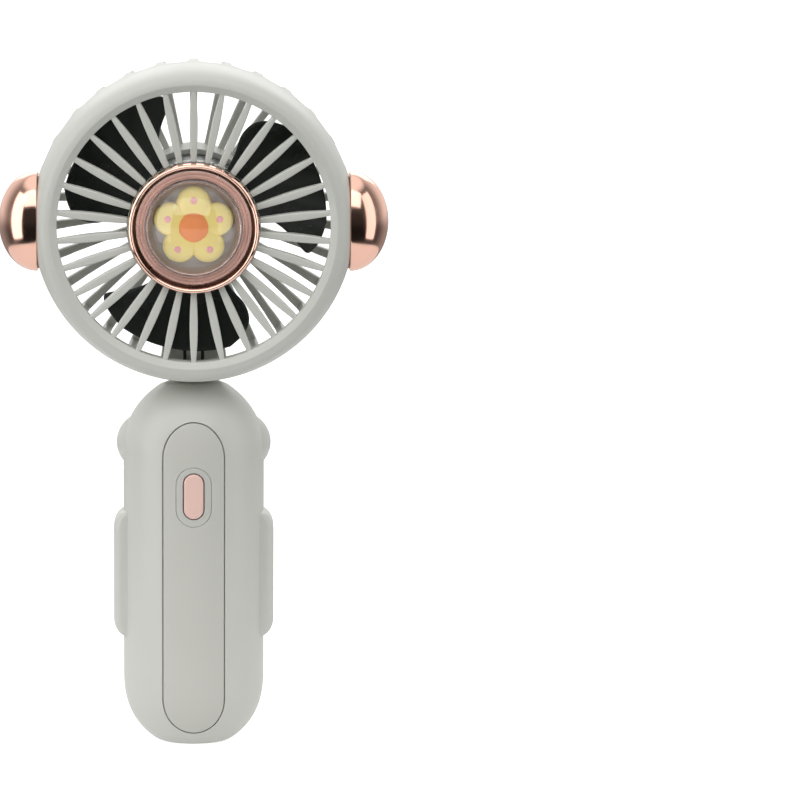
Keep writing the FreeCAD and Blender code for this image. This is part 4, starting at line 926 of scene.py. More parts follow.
def rim_normal(co):
    x, y, z = co[:, 0], co[:, 1] - HF, co[:, 2] - HL
    r = np.sqrt(x**2 + z**2)
    prof = np.array(RIM_OUT)
    pr, ps = prof[:, 0], prof[:, 1]
    h = 0.02
    dr = (np.interp(y + h, ps, pr) - np.interp(y - h, ps, pr)) / (2 * h)
    inside = (y > 0.12) & (y < 10.32)
    ln = np.sqrt(1 + dr**2)
    n = np.stack([x / r / ln, -dr / ln, z / r / ln], 1)
    dist = np.where(inside, (r - np.interp(y, ps, pr)) / ln, 9)
    return n, dist


form_normals(rim, rim_normal, 0.8)
piece("fan_rim", rim, "head", "casing", ["front_casing"])
piece("fan_bars", [spoke(2 * math.pi * k / 30) for k in range(30)], "head", "casing", ["front_grille"], sharp=40)
hub_back_plate = fillet([(0.0, 5.1), (18.5, 5.1), (18.5, 0.9, 0.1), (18.95, 0.9, 0.1), (18.95, 5.9, 0.3), (18.6, 6.2), (0.0, 6.2)], 3)
piece("fan_hub_plate", [lathe(hub_back_plate, 160, closed=False)], "head", "casing", ["front_hub_plate"])


def collar_ring():
    """The clear edge round the hub, with fine grooves across it."""
    n = 480
    prof = fillet([(18.46, 0.25, 0.12), (19.3, 0.25, 0.3), (19.3, 4.4, 0.1), (18.98, 4.4), (18.98, 0.85), (18.46, 0.85)], 3)
    rings = []
    for k in range(n):
        a = 2 * math.pi * k / n
        ripple = 0.09 * (0.5 + 0.5 * math.cos(a * 60))
        rings.append(np.array([at_head(r - (ripple if r > 19.1 else 0), s, a) for r, s in prof]))
    return loft(rings, loop=True)


piece("fan_collar", [collar_ring()], "head", "collar", ["front_grille"], sharp=30)

# ------------------------------------------------------------------ front hub
trim_profile = fillet([(17.5, -0.75, 0.2), (17.7, -1.4, 0.25), (18.15, -1.66, 0.3), (18.7, -1.25, 0.45), (18.95, -0.4, 0.3), (18.95, 0.18, 0.05), (18.42, 0.18), (18.42, 1.5), (17.5, 1.5)], 6)
piece("fan_trim", [lathe(trim_profile, 240)], "head", "ring", ["trim_ring"], sharp=60)

seat_profile = [(14.08, 0.86), (14.5, 0.86), (14.6, 0.98), (14.75, 0.98), (14.85, 0.86), (15.5, 0.86), (15.6, 0.98), (15.72, 0.98), (15.8, 0.86), (16.6, 0.86), (16.6, 1.54), (18.36, 1.54), (18.36, 4.9), (14.08, 4.9)]
piece("fan_seat", [lathe(seat_profile, 200)], "head", "copper", ["lens_seat"], sharp=25)


def dome_profile(radius=14.15, rise=7.6, wall=1.05):
    foot = -0.1
    big = (radius**2 + rise**2) / (2 * rise)
    small = big - wall
    c = foot - rise + big
    t = math.asin(radius / big)
    t2 = math.asin((radius - wall) / small)
    out = [(big * math.sin(t * k / 30), c - big * math.cos(t * k / 30)) for k in range(31)]
    out += [(14.45, -0.14), (14.6, -0.1), (16.55, -0.1), (16.62, -0.02), (16.62, 0.8), (radius - wall, 0.8)]
    out += [(small * math.sin(t2 * k / 30), c - small * math.cos(t2 * k / 30)) for k in range(30, -1, -1)]
    out[0] = (0.0, out[0][1])
    out[-1] = (0.0, out[-1][1])
    return out


piece("fan_dome", [lathe(dome_profile(), 200, closed=False)], "head", "clear", ["clear_dome"], sharp=40)

cup_profile = fillet([(0.0, 4.0), (11.6, 4.0, 1.6), (12.9, 0.95, 0.2), (14.05, 0.95, 0.1), (14.05, 5.08), (0.0, 5.08)], 6)
piece("fan_cup", [lathe(cup_profile, 160, closed=False)], "head", "mauve", ["ornament_cup"], sharp=50)


def petal(angle, r0=0.0, pr=4.85, reach=11.6, floor=4.0, rise=2.9):
    """A soft round petal, domed, its foot on the cup's floor."""
    cx, cz = (reach - pr) * math.sin(angle), (reach - pr) * math.cos(angle)
    n = 64
    th = np.linspace(0, 2 * math.pi, n, endpoint=False)
    rings = []
    for q, h in ((1.0, 0.0), (1.0, 0.9), (0.985, 1.35), (0.95, 1.75), (0.89, 2.1), (0.8, 2.4), (0.68, 2.62), (0.52, 2.78), (0.34, 2.86), (0.16, 2.9)):
        rad = pr * q
        # a little longer outwards than inwards
        dx = rad * np.cos(th)
        dy = rad * np.sin(th) * np.where(np.sin(th) < 0, 1.12, 1.0)
        x = cx + dx * math.cos(angle) + dy * math.sin(angle)
        z = cz - dx * math.sin(angle) + dy * math.cos(angle)
        rings.append(np.stack([x, np.full(n, HF + floor - h * rise / 2.9), HL + z], 1))
    return loft(rings)


petals = [solid("petal%d" % k, [petal(math.radians(72 * k))]) for k in range(5)]
core = solid("petal_core", [lathe([(0.0, 1.9), (4.6, 1.9), (4.6, 4.0), (0.0, 4.0)], 48, closed=False)])
bool_cut(core, petals, "UNION")
core.data.polygons.foreach_set("use_smooth", [True] * len(core.data.polygons))
core.data.set_sharp_from_angle(angle=math.radians(50))
piece("fan_petals", core, "head", "yellow", ["flower_petals"])

centre_profile = [(0.0, -0.45)] + [(4.35 * math.sin(math.pi / 2 * k / 12), 1.95 - 2.4 * math.cos(math.pi / 2 * k / 12)) for k in range(1, 13)] + [(4.35, 2.6), (0.0, 2.6)]
piece("fan_centre", [lathe(centre_profile, 96, closed=False)], "head", "orange", ["flower_centre"], sharp=50)


def dot(angle, r=7.75, rad=1.0, top=0.86):
    prof = [(0.0, top)] + [(rad * math.sin(math.pi / 2 * k / 7), top + 0.34 * (1 - math.cos(math.pi / 2 * k / 7))) for k in range(1, 8)] + [(rad, 1.7), (0.0, 1.7)]
    return lathe(prof, 40, (r * math.sin(angle), HF, HL + r * math.cos(angle)), closed=False)


piece("fan_dots", [dot(math.radians(72 * k)) for k in range(5)], "head", "pink", ["flower_dots"], sharp=50)

# ------------------------------------------------------------------ ear caps


def ear(side):
    """A plated cap: a full round edge that turns over into a gently domed end."""
    n, rows = 160, 40
    th = np.linspace(0, 2 * math.pi, n, endpoint=False)
    base, rise = 45.2, 11.1
    rings = []

    def ring(x, q):
        return np.stack([np.full(n, side * x), HF + 13.0 + 10.5 * q * np.cos(th), HL + 14.6 * q * np.sin(th)], 1)

    rings.append(ring(45.05, 0.945))
    rings.append(ring(45.05, 0.985))
    for k in range(rows):
        t = math.pi / 2 * k / (rows - 1)
        q, h = math.cos(t) ** EAR_P, math.sin(t) ** EAR_Q
        if k == rows - 1:
            q, h = 0.012, 1.0
        rings.append(ring(base + rise * h, q))
    if side < 0:
        rings = [r[::-1] for r in rings]
    return loft(rings)


EAR_P, EAR_Q = 1.0, 1.0
for s, word in ((-1, "left"), (1, "right")):
    piece("fan_ear_" + word, [ear(s)], "head", "rose", ["ear_cap_" + word], sharp=70)

# ------------------------------------------------------------------ rear cage
PITCH = math.radians(12)
RB = 46.5
cage_out = [(10.9, RB), (12.0, RB), (13.1, RB), (14.4, RB), (15.6, RB), (16.653, RB)]  # (depth, radius)
cage_out += arc3((17.0, RB), (23.2, RB - 0.72), (29.47, RB - 2.06), 14)
cage_out += arc3((29.47, RB - 2.06), (31.12, RB - 2.88), (32.07, RB - 4.45), 8)[1:]
cage_out += arc3((32.07, RB - 4.45), (34.6, RB - 14.3), (36.5, 18.4), 20)[1:]
cage_out = np.array(cage_out)
seg = np.linalg.norm(np.diff(cage_out, axis=0), axis=1)
cage_len = np.concatenate([[0], np.cumsum(seg)])
tang = np.gradient(cage_out, cage_len, axis=0)
tang /= np.linalg.norm(tang, axis=1)[:, None]
cage_in_n = np.stack([tang[:, 1], -tang[:, 0]], 1)  # towards the inside
cage_in_n[:6] = (0, -1)
ROUND = 0.5
S_C = 13.1 + 3.553
half_gap = math.radians(6)


def rib_half(i):
    """Half width of a bar at path point i."""
    r = cage_out[i][1]
    t = (cage_len[i] - cage_len[5]) / (cage_len[-1] - cage_len[5])
    t = max(t, 0)
    w = 1.4 - 0.475 * min(t * 1.15, 1) ** 1.1
    # a slight swelling where the bar turns over the corner
    k = math.exp(-(((cage_out[i][0] - 31.3) / 2.6) ** 2))
    return w + 0.12 * k * (1 if r > 38 else 0)


def thick_at(i):
    t = max((cage_len[i] - cage_len[5]) / (cage_len[-1] - cage_len[5]), 0)
    return 3.0 - 0.3 * t


def section(i):
    """Half section of a bar at path point i: list of (offset from the edge inwards, depth)."""
    T = thick_at(i)
    out = []
    for k in range(5):
        a = math.pi / 2 * k / 4
        out.append((ROUND * (1 - math.sin(a)), ROUND * (1 - math.cos(a))))
    for k in range(5):
        a = math.pi / 2 * k / 4
        out.append((ROUND * (1 - math.cos(a)), T - ROUND * (1 - math.sin(a))))
    return out


def cage_point(i, lateral, depth, angle):
    """Point of a bar: lateral is an arc length at the bar's own radius, measured from the bar's centre at angle."""
    s, r = cage_out[i]
    ns, nr = cage_in_n[i]
    a = angle + lateral / r
    rr, ss = r + nr * depth, s + ns * depth
    return at_head(rr, ss, a)


def flat_point(s, lateral, depth, angle):
    return at_head(RB - depth, s, angle + lateral / RB)


def cage_mesh():
    verts, faces, index = [], [], {}

    def vid(p):
        key = (round(p[0], 4), round(p[1], 4), round(p[2], 4))
        if key not in index:
            index[key] = len(verts)
            verts.append(tuple(p))
        return index[key]

    def quad(*pts):
        ids = []
        for p in pts:
            v = vid(p)
            if v not in ids:
                ids.append(v)
        if len(ids) >= 3:
            faces.append(tuple(ids))

    R = 3.553
    HP = half_gap * RB
    T0 = thick_at(0)
    prof0 = section(0)
    M_ARC = 14
    PHI_ROW = math.radians(62)
    steps = [math.pi / 2 * k / M_ARC for k in range(M_ARC + 1)]
    seam_rows = [(10.72, 0.0), (10.55, 0.17)]  # a softened edge at the seam with the front casing

    def far_point(phi, depth, centre, sign):
        """The point opposite an arc point, on the row below or on the bar's middle line."""
        if phi <= PHI_ROW:
            return flat_point(12.0, sign * HP * phi / PHI_ROW, depth, centre)
        t = (phi - PHI_ROW) / (math.pi / 2 - PHI_ROW)
        return flat_point(12.0 + (S_C - 12.0) * t, sign * HP, depth, centre)

    row_lat = [HP * p / PHI_ROW for p in steps if p <= PHI_ROW + 1e-9]
    if abs(row_lat[-1] - HP) > 1e-6:
        row_lat.append(HP)

    for k in range(30):
        centre = PITCH * (k + 0.5)
        deg = math.degrees(centre) % 360
        has_slot = abs(((deg + 180) % 360) - 180) < 163
        for sign in (-1, 1):
            # band below the slots, outside and inside
            for depth in (0.0, T0):
                lat = row_lat
                for a, b in zip(lat[:-1], lat[1:]):
                    if depth == 0.0:
                        rows = [(12.0, 0.0), (11.3, 0.0), (10.72, 0.0), (10.56, 0.16)]
                    else:
                        rows = [(12.0, T0), (10.56, T0)]
                    for (s0, d0), (s1, d1) in zip(rows[:-1], rows[1:]):
                        quad(flat_point(s0, sign * a, d0, centre), flat_point(s0, sign * b, d0, centre), flat_point(s1, sign * b, d1, centre), flat_point(s1, sign * a, d1, centre))
            for a, b in zip(row_lat[:-1], row_lat[1:]):
                quad(flat_point(10.56, sign * a, 0.16, centre), flat_point(10.56, sign * b, 0.16, centre), flat_point(10.56, sign * b, T0, centre), flat_point(10.56, sign * a, T0, centre))
            if has_slot:
                # the round end: the wall with its softened edges
                for p0, p1 in zip(steps[:-1], steps[1:]):
                    def arc_pt(phi, e, depth):
                        return flat_point(S_C - (R + e) * math.cos(phi), sign * (R + e) * math.sin(phi), depth, centre)
                    for (e0, d0), (e1, d1) in zip(prof0[:-1], prof0[1:]):
                        quad(arc_pt(p0, e0, d0), arc_pt(p1, e0, d0), arc_pt(p1, e1, d1), arc_pt(p0, e1, d1))
                    for depth, e in ((0.0, ROUND), (T0, ROUND)):
                        a0, a1 = arc_pt(p0, e, depth), arc_pt(p1, e, depth)
                        b0, b1 = far_point(p0, depth, centre, sign), far_point(p1, depth, centre, sign)
                        # the corner of the band row is kept as a point of its own
                        m = 3
                        for j in range(m):
                            t0, t1 = j / m, (j + 1) / m

                            def mix(p, q, t):
                                v = p * (1 - t) + q * t
                                x, y, z = v[0], v[1], v[2] - HL
                                f = (RB - depth) / math.hypot(x, z)
                                return np.array([x * f, y, z * f + HL])

                            quad(mix(a0, b0, t0), mix(a1, b1, t0), mix(a1, b1, t1), mix(a0, b0, t1))
                        if p0 <= PHI_ROW < p1 - 1e-9 and p0 < PHI_ROW - 1e-9:
                            corner = flat_point(12.0, sign * HP, depth, centre)
                            quad(b0, b1, corner)
            else:
                # no slot here: the band simply ends, inside the arm
                for depth in (0.0, T0):
                    for a, b in zip(row_lat[:-1], row_lat[1:]):
                        quad(flat_point(12.0, sign * a, depth, centre), flat_point(12.0, sign * b, depth, centre), flat_point(S_C, sign * b, depth, centre), flat_point(S_C, sign * a, depth, centre))
                for a, b in zip(row_lat[:-1], row_lat[1:]):
                    quad(flat_point(S_C, sign * a, 0.0, centre), flat_point(S_C, sign * b, 0.0, centre), flat_point(S_C, sign * b, T0, centre), flat_point(S_C, sign * a, T0, centre))
    # the bars
    last = len(cage_out) - 1
    for k in range(-14, 16):
        angle = PITCH * k
        deg = abs(k * 12)
        if deg > 168:
            continue
        if deg == 168:
            # the roots beside the arm: half a bar's root, ended inside the arm
            side_of_slot = -1 if k > 0 else 1
            loop = []
            sec = section(5)
            w = 1.4
            pts = [(side_of_slot * (w - e), d) for e, d in sec]
            ring = [flat_point(S_C, 0.0, 0.0, angle)] + [flat_point(S_C, u, d, angle) for u, d in pts] + [flat_point(S_C, 0.0, T0, angle)]
            ids = tuple(vid(p) for p in ring)
            faces.append(ids)
            continue
        prev = None
        for i in range(5, last + 1):
            w = rib_half(i) if i > 5 else 1.4
            sec = section(i)
            right = [(w - e, d) for e, d in sec]
            left = [(-(w - e), d) for e, d in sec[::-1]]
            outline_pts = [(0.0, 0.0)] + right + [(0.0, thick_at(i))] + left
            if i == 5:
                ring = [flat_point(S_C, u, d if d else 0.0, angle) for u, d in outline_pts]
            else:
                ring = [cage_point(i, u, d, angle) for u, d in outline_pts]
            ids = [vid(p) for p in ring]
            if prev is not None:
                m = len(ids)
                for j in range(m):
                    a, b = prev[j], prev[(j + 1) % m]
                    c, d = ids[(j + 1) % m], ids[j]
                    f = []
                    for v in (a, b, c, d):
                        if v not in f:
                            f.append(v)
                    if len(f) >= 3:
                        faces.append(tuple(f))
            prev = ids
        faces.append(tuple(prev))
    return np.array(verts), faces


cage = solid("cage", [cage_mesh()])


def cage_normal(co):
    """The outer face's own normals: a form of revolution through the path."""
    x, y, z = co[:, 0], co[:, 1] - HF, co[:, 2] - HL
    r = np.sqrt(x**2 + z**2)
    best = np.full(len(r), 1e9)
    nn = np.zeros((len(r), 2))
    seg_a, seg_b = cage_out[:-1], cage_out[1:]
    seg_a = np.concatenate([[[10.5, RB]], seg_a])
    seg_b = np.concatenate([[cage_out[0]], seg_b])
    na = -np.concatenate([cage_in_n[:1], cage_in_n[:-1]])
    nb = -np.concatenate([cage_in_n[:1], cage_in_n[1:]])
    p = np.stack([y, r], 1)
    for a, b, u, v in zip(seg_a, seg_b, na, nb):
        d = b - a
        L = float(d @ d)
        if L < 1e-9:
            continue
        t = np.clip(((p - a) @ d) / L, 0, 1)
        q = a + t[:, None] * d
        dd = np.linalg.norm(p - q, axis=1)
        m = dd < best
        best[m] = dd[m]
        nn[m] = (u * (1 - t[m])[:, None]) + (v * t[m][:, None])
    nn /= np.maximum(np.linalg.norm(nn, axis=1), 1e-6)[:, None]
    n = np.stack([x / r * nn[:, 1], nn[:, 0], z / r * nn[:, 1]], 1)
    return n, best


bool_cut(cage, [solid("ce%d" % k, [ear_prism(s, 0.12, 44.971 - 0.007 * k, 61.3, 101, 0.017 + 0.011 * k)]) for k, s in enumerate((-1, 1))])
form_normals(cage, cage_normal, 0.9)
piece("cage_ribs", cage, "head", "cage", ["rear_cage"])

# the tongue that goes inside the front casing, the hub ring with its floor and motor sleeve, and the posts
tongue = fillet([(43.35, 7.6, 0.2), (44.55, 7.6, 0.2), (44.55, 12.6), (43.35, 12.6, 0.3)], 3)
hub_ring = fillet(
    [
        (0.0, 35.85), (17.3, 35.85, 0.05), (17.3, 36.55, 0.12), (19.4, 36.55, 0.45), (19.4, 23.2, 0.25), (17.7, 23.2, 0.25), (17.7, 34.3, 0.4),
        (13.4, 34.3, 0.3), (13.4, 24.0), (12.25, 24.0), (12.25, 34.3), (0.0, 34.3),
    ],
    4,
)
posts = [lathe([(0.0, 2.6), (1.1, 2.6), (1.1, 7.1), (0.85, 7.4), (0.0, 7.4)], 32, (41.95 * math.sin(math.radians(60 * k)), HF, HL + 41.95 * math.cos(math.radians(60 * k))), closed=False) for k in range(6)]
piece("fan_posts", posts, "head", "casing", ["front_casing"], sharp=40)
piece("cage_tongue", [lathe(tongue, 240)], "head", "cage", ["rear_cage"])
piece("cage_hub", [lathe(hub_ring, 200, closed=False)], "head", "cage", ["rear_cage"], sharp=35)


def bevelled(ob, width, segments=3, angle=40.0):
    m = ob.modifiers.new("soft", "BEVEL")
    m.width = width * MM
    m.segments = segments
    m.limit_method = "ANGLE"
    m.angle_limit = math.radians(angle)
    m.harden_normals = False
    dg = bpy.context.evaluated_depsgraph_get()
    me = bpy.data.meshes.new_from_object(ob.evaluated_get(dg), depsgraph=dg)
    old = ob.data
    ob.modifiers.clear()
    ob.data = me
    bpy.data.meshes.remove(old)
    return ob


# the arm that joins the hub ring, the band and the neck
arm_side = fillet(
    [
        (36.38, 18.2), (35.4, 28.0, 60.0), (34.0, 37.0, 40.0), (31.9, 46.7, 1.3), (15.2, 46.7, 1.5), (13.1, 46.2), (13.1, 43.7),
        (22.0, 44.0, 6.0), (27.6, 41.4, 6.0), (31.2, 33.0, 20.0), (33.2, 18.2),
    ],
    6,
)
arm_rings = [np.array([(x, HF + s, HL - r) for s, r in arm_side]) for x in (-15, 15)]
arm = solid("arm", [loft(arm_rings)])
plan = [(-10.25, -48.5), (10.25, -48.5), (10.1, -47.0), (8.9, -38.5), (7.2, -29.5), (5.35, -19.4), (5.2, -17.0), (-5.2, -17.0), (-5.35, -19.4), (-7.2, -29.5), (-8.9, -38.5), (-10.1, -47.0)]
plan_rings = [np.array([(x, y, HL + z) for x, z in plan]) for y in (-40, 40)]
bool_cut(arm, [solid("plan", [loft(plan_rings)])], "INTERSECT")
bevelled(arm, 0.55, 3, 38)
bool_cut(arm, [solid("wh%d" % k, [box_geo(x - 1.15, x + 1.15, HF + 28, HF + 40, HL - 22.8, HL - 20.5)]) for k, x in enumerate((-2.62, 2.62))])
finish_mesh(arm, 36)
piece("cage_arm", arm, "head", "cage", ["rear_cage"])

# seats of the ear caps
seats = []
for k, s in enumerate((-1, 1)):
    seat = solid("seat", [ear_prism(s, -0.75, 43.6, 44.96)])
    bool_cut(seat, [solid("cutbox", [box_geo(-60, 60, HF + 10.62, HF + 40, 0, 300)])], "INTERSECT")
    seats.append(seat)
seats = merged(seats, "ear_seats")
finish_mesh(seats, 30)
piece("cage_ear_seats", seats, "head", "cage", ["rear_cage"])

# bare round disc with the ring's tab over it
disc = fillet([(0.0, 36.32), (17.12, 36.32, 0.12), (17.12, 35.88), (0.0, 35.88)], 3)
piece("cage_disc", [lathe(disc, 200, closed=False)], "head", "label", ["rear_hub_cover"], sharp=50)
tab = solid("tab", [box_geo(-1.5, 1.5, HF + 36.0, HF + 36.62, HL + 15.15, HL + 17.9)])
bevelled(tab, 0.14, 2, 60)
finish_mesh(tab, 40)
piece("cage_tab", tab, "head", "cage", ["rear_cage"])

# ------------------------------------------------------------------ neck
br = 6.05
neck_side = [(3.4, 111.2), (3.4, 95.26)]
for k in range(1, 66):
    a = math.radians(126.5 + (438.5 - 126.5) * k / 66)
    neck_side.append((HY + br * math.cos(a), HZ + br * math.sin(a)))
neck_side += [(8.20, 96.33), (7.85, 96.46), (7.6, 96.72), (7.45, 97.0), (7.4, 97.31), (7.4, 111.2)]
neck = solid("neck", [loft([np.array([(x, y, z) for y, z in neck_side]) for x in (-6.0, 6.0)])])
bevelled(neck, 0.4, 3, 62)
finish_mesh(neck, 34)
piece("neck_barrel", neck, "head", "shell", ["hinge_neck"])
rib_rows = []
for z, w, y1 in (
    (111.2, 6.0, 11.6), (109.0, 6.0, 11.6), (107.4, 6.0, 11.6), (106.3, 5.95, 11.6), (105.2, 5.78, 11.6), (104.1, 5.42, 11.6), (103.0, 4.92, 11.58), (101.9, 4.36, 11.52),
    (100.9, 3.86, 11.4), (99.9, 3.38, 11.2), (99.0, 2.92, 10.9), (98.2, 2.46, 10.5), (97.6, 2.02, 10.05), (97.1, 1.55, 9.5), (96.75, 1.1, 8.95), (96.45, 0.7, 8.4),
):
    sec = rounded_rect(w, (y1 - 6.4) / 2, min(0.8, w * 0.7), 5) + (0, (y1 + 6.4) / 2)
    rib_rows.append(np.stack([sec[:, 0], sec[:, 1], np.full(len(sec), z)], 1))
piece("neck_rib", [loft(rib_rows)], "head", "shell", ["hinge_neck"], sharp=50)

# ------------------------------------------------------------------ impeller


# the two edges of a blade, as (radius, degrees from the blade's start)
BACK_EDGE = np.array(smooth([(17.3, 7.0), (23.3, 5.0), (28.0, 2.8), (32.5, 4.4), (35.7, 9.0), (38.5, 18.0)], 8))
LEAD_EDGE = np.array(smooth([(17.3, 65.0), (22.6, 67.2), (28.0, 74.3), (31.5, 79.5), (34.6, 82.3), (36.4, 79.0), (37.6, 73.0), (38.5, 66.0)], 8))


def blade(start, end, n_u=56, n_v=36, thick=1.25):
    """One blade between two angles, clockwise from the top as seen from the front. Its clockwise end sweeps forward as a blunt hook."""
    r0, r1 = 17.3, 38.5
    span = end - start

    def mid(u, v):
        v = 1 - (1 - v) ** 1.5
        r = r0 + (r1 - r0) * v
        a0 = start + float(np.interp(r, BACK_EDGE[:, 0], BACK_EDGE[:, 1]))
        a1 = start + float(np.interp(r, LEAD_EDGE[:, 0], LEAD_EDGE[:, 1]))
        a = math.radians(a0 + (a1 - a0) * u)
        t = (a0 + (a1 - a0) * u - start) / span
        pitch = 8.6 + 1.8 * (1 - v)
        s = 12.2 + (1 - v) * 0.2 + pitch * t - 1.6 * math.sin(math.pi * min(max(t, 0), 1)) * (0.4 + 0.6 * v)
        room = 21.2 - 0.3 + 1.3 * v - s
        s += room - (math.sqrt(room**2 + 0.16) + room) / 2
        return at_head(r, s, a)

    grid = np.array([[mid(i / (n_u - 1), j / (n_v - 1)) for j in range(n_v)] for i in range(n_u)])
    du = np.gradient(grid, axis=0)
    dv = np.gradient(grid, axis=1)
    nr = np.cross(du, dv)
    nr /= np.linalg.norm(nr, axis=2)[:, :, None]
    ii, jj = np.meshgrid(np.arange(n_u), np.arange(n_v), indexing="ij")
    # distance from the free edges, for the soft edge
    e_u = np.minimum(np.cumsum(np.concatenate([np.zeros((1, n_v)), np.linalg.norm(np.diff(grid, axis=0), axis=2)]), axis=0), 99)
    tot = e_u[-1]
    e_u = np.minimum(e_u, tot[None, :] - e_u)
    e_v = np.cumsum(np.concatenate([np.zeros((n_u, 1)), np.linalg.norm(np.diff(grid, axis=1), axis=2)], axis=1), axis=1)
    e_v = e_v[:, -1][:, None] - e_v
    edge = np.minimum(e_u, e_v)
    soft = 0.8
    k = np.clip(edge / soft, 0, 1)
    half = thick / 2 * (0.3 + 0.7 * np.sqrt(1 - (1 - k) ** 2))
    front, back = grid - nr * half[:, :, None], grid + nr * half[:, :, None]
    verts = np.concatenate([front.reshape(-1, 3), back.reshape(-1, 3)])
    n = n_u * n_v
    faces = []
    for i in range(n_u - 1):
        for j in range(n_v - 1):
            a, b, c, d = i * n_v + j, (i + 1) * n_v + j, (i + 1) * n_v + j + 1, i * n_v + j + 1
            faces.append((a, b, c, d))
            faces.append((n + d, n + c, n + b, n + a))
    loop = [i * n_v for i in range(n_u)] + [(n_u - 1) * n_v + j for j in range(1, n_v)] + [i * n_v + n_v - 1 for i in range(n_u - 2, -1, -1)] + [j for j in range(n_v - 2, 0, -1)]
    for p, q in zip(loop, loop[1:] + loop[:1]):
        faces.append((p, q, n + q, n + p))
    return verts, faces


hub_cup = fillet([(0.0, 10.6), (3.0, 10.6), (18.0, 10.6, 1.6), (18.0, 21.2, 0.3), (16.6, 21.2, 0.2), (16.6, 12.2, 0.8), (3.2, 12.2), (3.2, 18.0), (0.0, 18.0)], 5)
piece("fan_impeller", [lathe(hub_cup, 160, closed=False)] + [blade(26.0 + 120.0 * k, 106.0 + 120.0 * k) for k in range(3)], "impeller", "dark", ["impeller"], sharp=60)

# ------------------------------------------------------------------ nodes that keep their CAD shapes
KEPT = {
    "hinge_pin": "steel", "friction_washers": "steel", "battery_cell": "wrap", "battery_tabs": "nickel", "circuit_board": "board", "tact_switch": "black",
    "usb_port": "nickel", "status_lights": "light", "handle_leads": "wire", "motor_can": "can", "motor_magnets": "ferrite", "motor_end_cap": "black",
    "motor_front_bush": "bronze", "motor_rear_bush": "bronze", "motor_terminals": "nickel", "motor_leads": "wire", "motor_shaft": "steel",
    "motor_rotor": "winding", "switch_plunger": "black",
}
for node, mat in KEPT.items():
    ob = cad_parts[node]
    ob.data.materials.clear()
    ob.data.materials.append(M[mat])

# ------------------------------------------------------------------ stage, light, camera
def stage_material(name, grey, glow, rough):
    mat, nt, bsdf = new_material(name)
    nt.links.new(tinted(nt, noise(nt, 3.0), (grey, grey, grey, 1), (grey + 0.01, grey + 0.01, grey + 0.01, 1)), bsdf.inputs["Base Color"])
    bsdf.inputs["Roughness"].default_value = rough
    bsdf.inputs["Specular IOR Level"].default_value = 0.1
    bsdf.inputs["Emission Color"].default_value = (1, 1, 1, 1)
    bsdf.inputs["Emission Strength"].default_value = glow
    return mat


# a wide pale floor that fills the picture, and a small lit table under the fan that gives its bounce
floor_mesh = bpy.data.meshes.new("stage_floor")
floor_mesh.from_pydata([(-6, -4, 0), (6, -4, 0), (6, 8, 0), (-6, 8, 0)], [], [(0, 1, 2, 3)])
floor_mesh.materials.append(stage_material("stage_white", 0.5, 0.85, 0.95))
floor = bpy.data.objects.new("stage_floor", floor_mesh)
floor.location.z = -0.0002
floor.visible_diffuse = False
floor.visible_glossy = False
bpy.context.scene.collection.objects.link(floor)
table_mesh = bpy.data.meshes.new("stage_table")
table_mesh.from_pydata([(0.27 * math.cos(2 * math.pi * k / 96), 0.27 * math.sin(2 * math.pi * k / 96), 0) for k in range(96)], [], [tuple(range(96))])
table_mesh.materials.append(stage_material("stage_table", 0.6, 0.37, 0.9))
table = bpy.data.objects.new("stage_table", table_mesh)
table.location = (0, 0.05, -0.0006)
table.visible_camera = False
bpy.context.scene.collection.objects.link(table)


AIM = Vector((0, 0, 0.12))


def softbox(name, azimuth, elevation, away, size, radiance):
    """A soft light that faces the fan. Azimuth is counted from the front, towards the right."""
    a, e = math.radians(azimuth), math.radians(elevation)
    light = bpy.data.lights.new(name, "AREA")
    light.shape = "RECTANGLE"
    light.size, light.size_y = size
    light.energy = radiance * math.pi * size[0] * size[1]
    ob = bpy.data.objects.new(name, light)
    ob.location = AIM + Vector((away * math.cos(e) * math.sin(a), -away * math.cos(e) * math.cos(a), away * math.sin(e)))
    ob.rotation_mode = "QUATERNION"
    ob.rotation_quaternion = (AIM - ob.location).to_track_quat("-Z", "Y")
    ob.visible_camera = False
    bpy.context.scene.collection.objects.link(ob)
    return ob


softbox("front_top", -4, 44, 1.3, (1.8, 0.8), 1.85)
softbox("strip_left", -62, 9, 0.7, (0.42, 0.96), 2.0)
softbox("strip_right", 64, 9, 0.7, (0.38, 0.96), 1.3)
softbox("back_top", 176, 36, 1.3, (1.6, 0.8), 1.2)

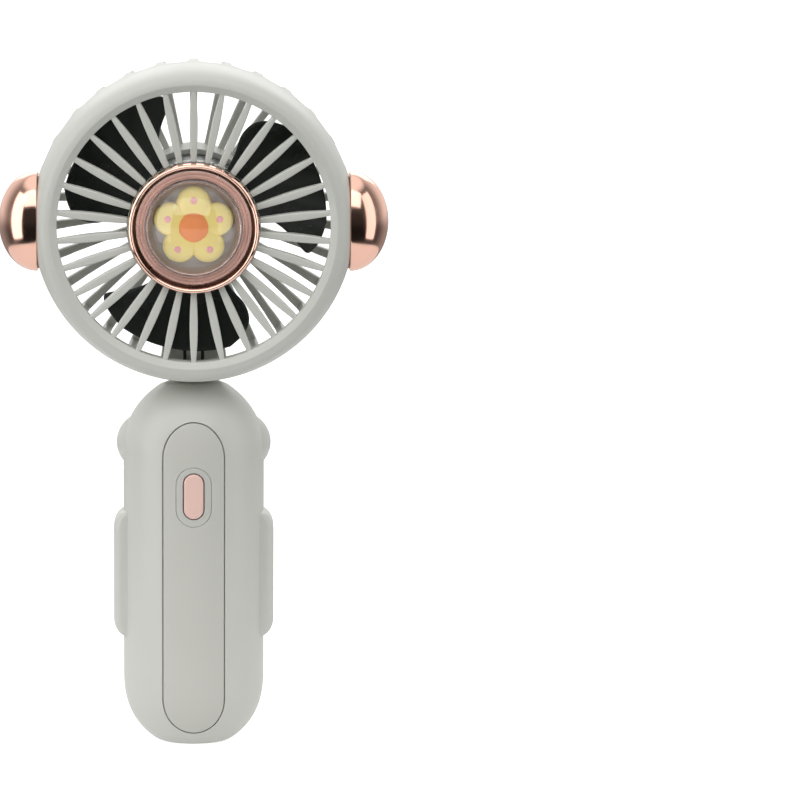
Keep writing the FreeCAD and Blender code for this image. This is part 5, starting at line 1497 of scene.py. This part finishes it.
world = bpy.data.worlds.new("studio")
bpy.context.scene.world = world
world.use_nodes = True
wn = world.node_tree
wn.nodes.clear()
wo = wn.nodes.new("ShaderNodeOutputWorld")
wb = wn.nodes.new("ShaderNodeBackground")
wb.inputs["Color"].default_value = (1, 1, 1, 1)
wn.links.new(wb.outputs["Background"], wo.inputs["Surface"])
tc = wn.nodes.new("ShaderNodeTexCoord")
sp = wn.nodes.new("ShaderNodeSeparateXYZ")
wn.links.new(tc.outputs["Generated"], sp.inputs["Vector"])


def ramp(source, lo, hi, first, last):
    m = wn.nodes.new("ShaderNodeMapRange")
    m.interpolation_type = "SMOOTHSTEP"
    for word, value in (("From Min", lo), ("From Max", hi), ("To Min", first), ("To Max", last)):
        m.inputs[word].default_value = value
    wn.links.new(source, m.inputs["Value"])
    return m.outputs["Result"]


def joined(a, b, how):
    m = wn.nodes.new("ShaderNodeMath")
    m.operation = how
    wn.links.new(a, m.inputs[0])
    if isinstance(b, float):
        m.inputs[1].default_value = b
    else:
        wn.links.new(b, m.inputs[1])
    return m.outputs[0]


# the room: dark in front, lighter behind, a white ceiling, dim below the floor's level
front_part = ramp(sp.outputs["Y"], -0.75, -0.05, 0.03, 0.22)
back_part = ramp(sp.outputs["Y"], -0.05, 0.7, 0.0, 0.68)
ceiling = ramp(sp.outputs["Z"], 0.72, 0.9, 0.0, 1.1)
below = ramp(sp.outputs["Z"], -0.25, 0.0, 0.35, 1.0)
room = joined(joined(front_part, back_part, "ADD"), ceiling, "MAXIMUM")
wn.links.new(joined(room, below, "MULTIPLY"), wb.inputs["Strength"])

D = 2.2
ELEV = math.radians(11.0)
cam_data = bpy.data.cameras.new("camera")
cam_data.sensor_width = 36.0
cam_data.lens = 36.0 * D / 0.2329
cam_data.clip_start, cam_data.clip_end = 0.05, 50
cam = bpy.data.objects.new("camera", cam_data)
target = Vector((0.06006, 0.0, 0.1008))
cam.location = Vector((0.0, -D * math.cos(ELEV), 0.1008 + D * math.sin(ELEV)))
cam.rotation_mode = "QUATERNION"
cam.rotation_quaternion = (target - cam.location).to_track_quat("-Z", "Y") @ Quaternion((0, 0, 1), math.radians(0.3))
bpy.context.scene.collection.objects.link(cam)
bpy.context.scene.camera = cam
scene = bpy.context.scene
scene.view_settings.view_transform = "Standard"
scene.view_settings.look = "None"
scene.view_settings.exposure = 0.0
scene.view_settings.gamma = 1.0
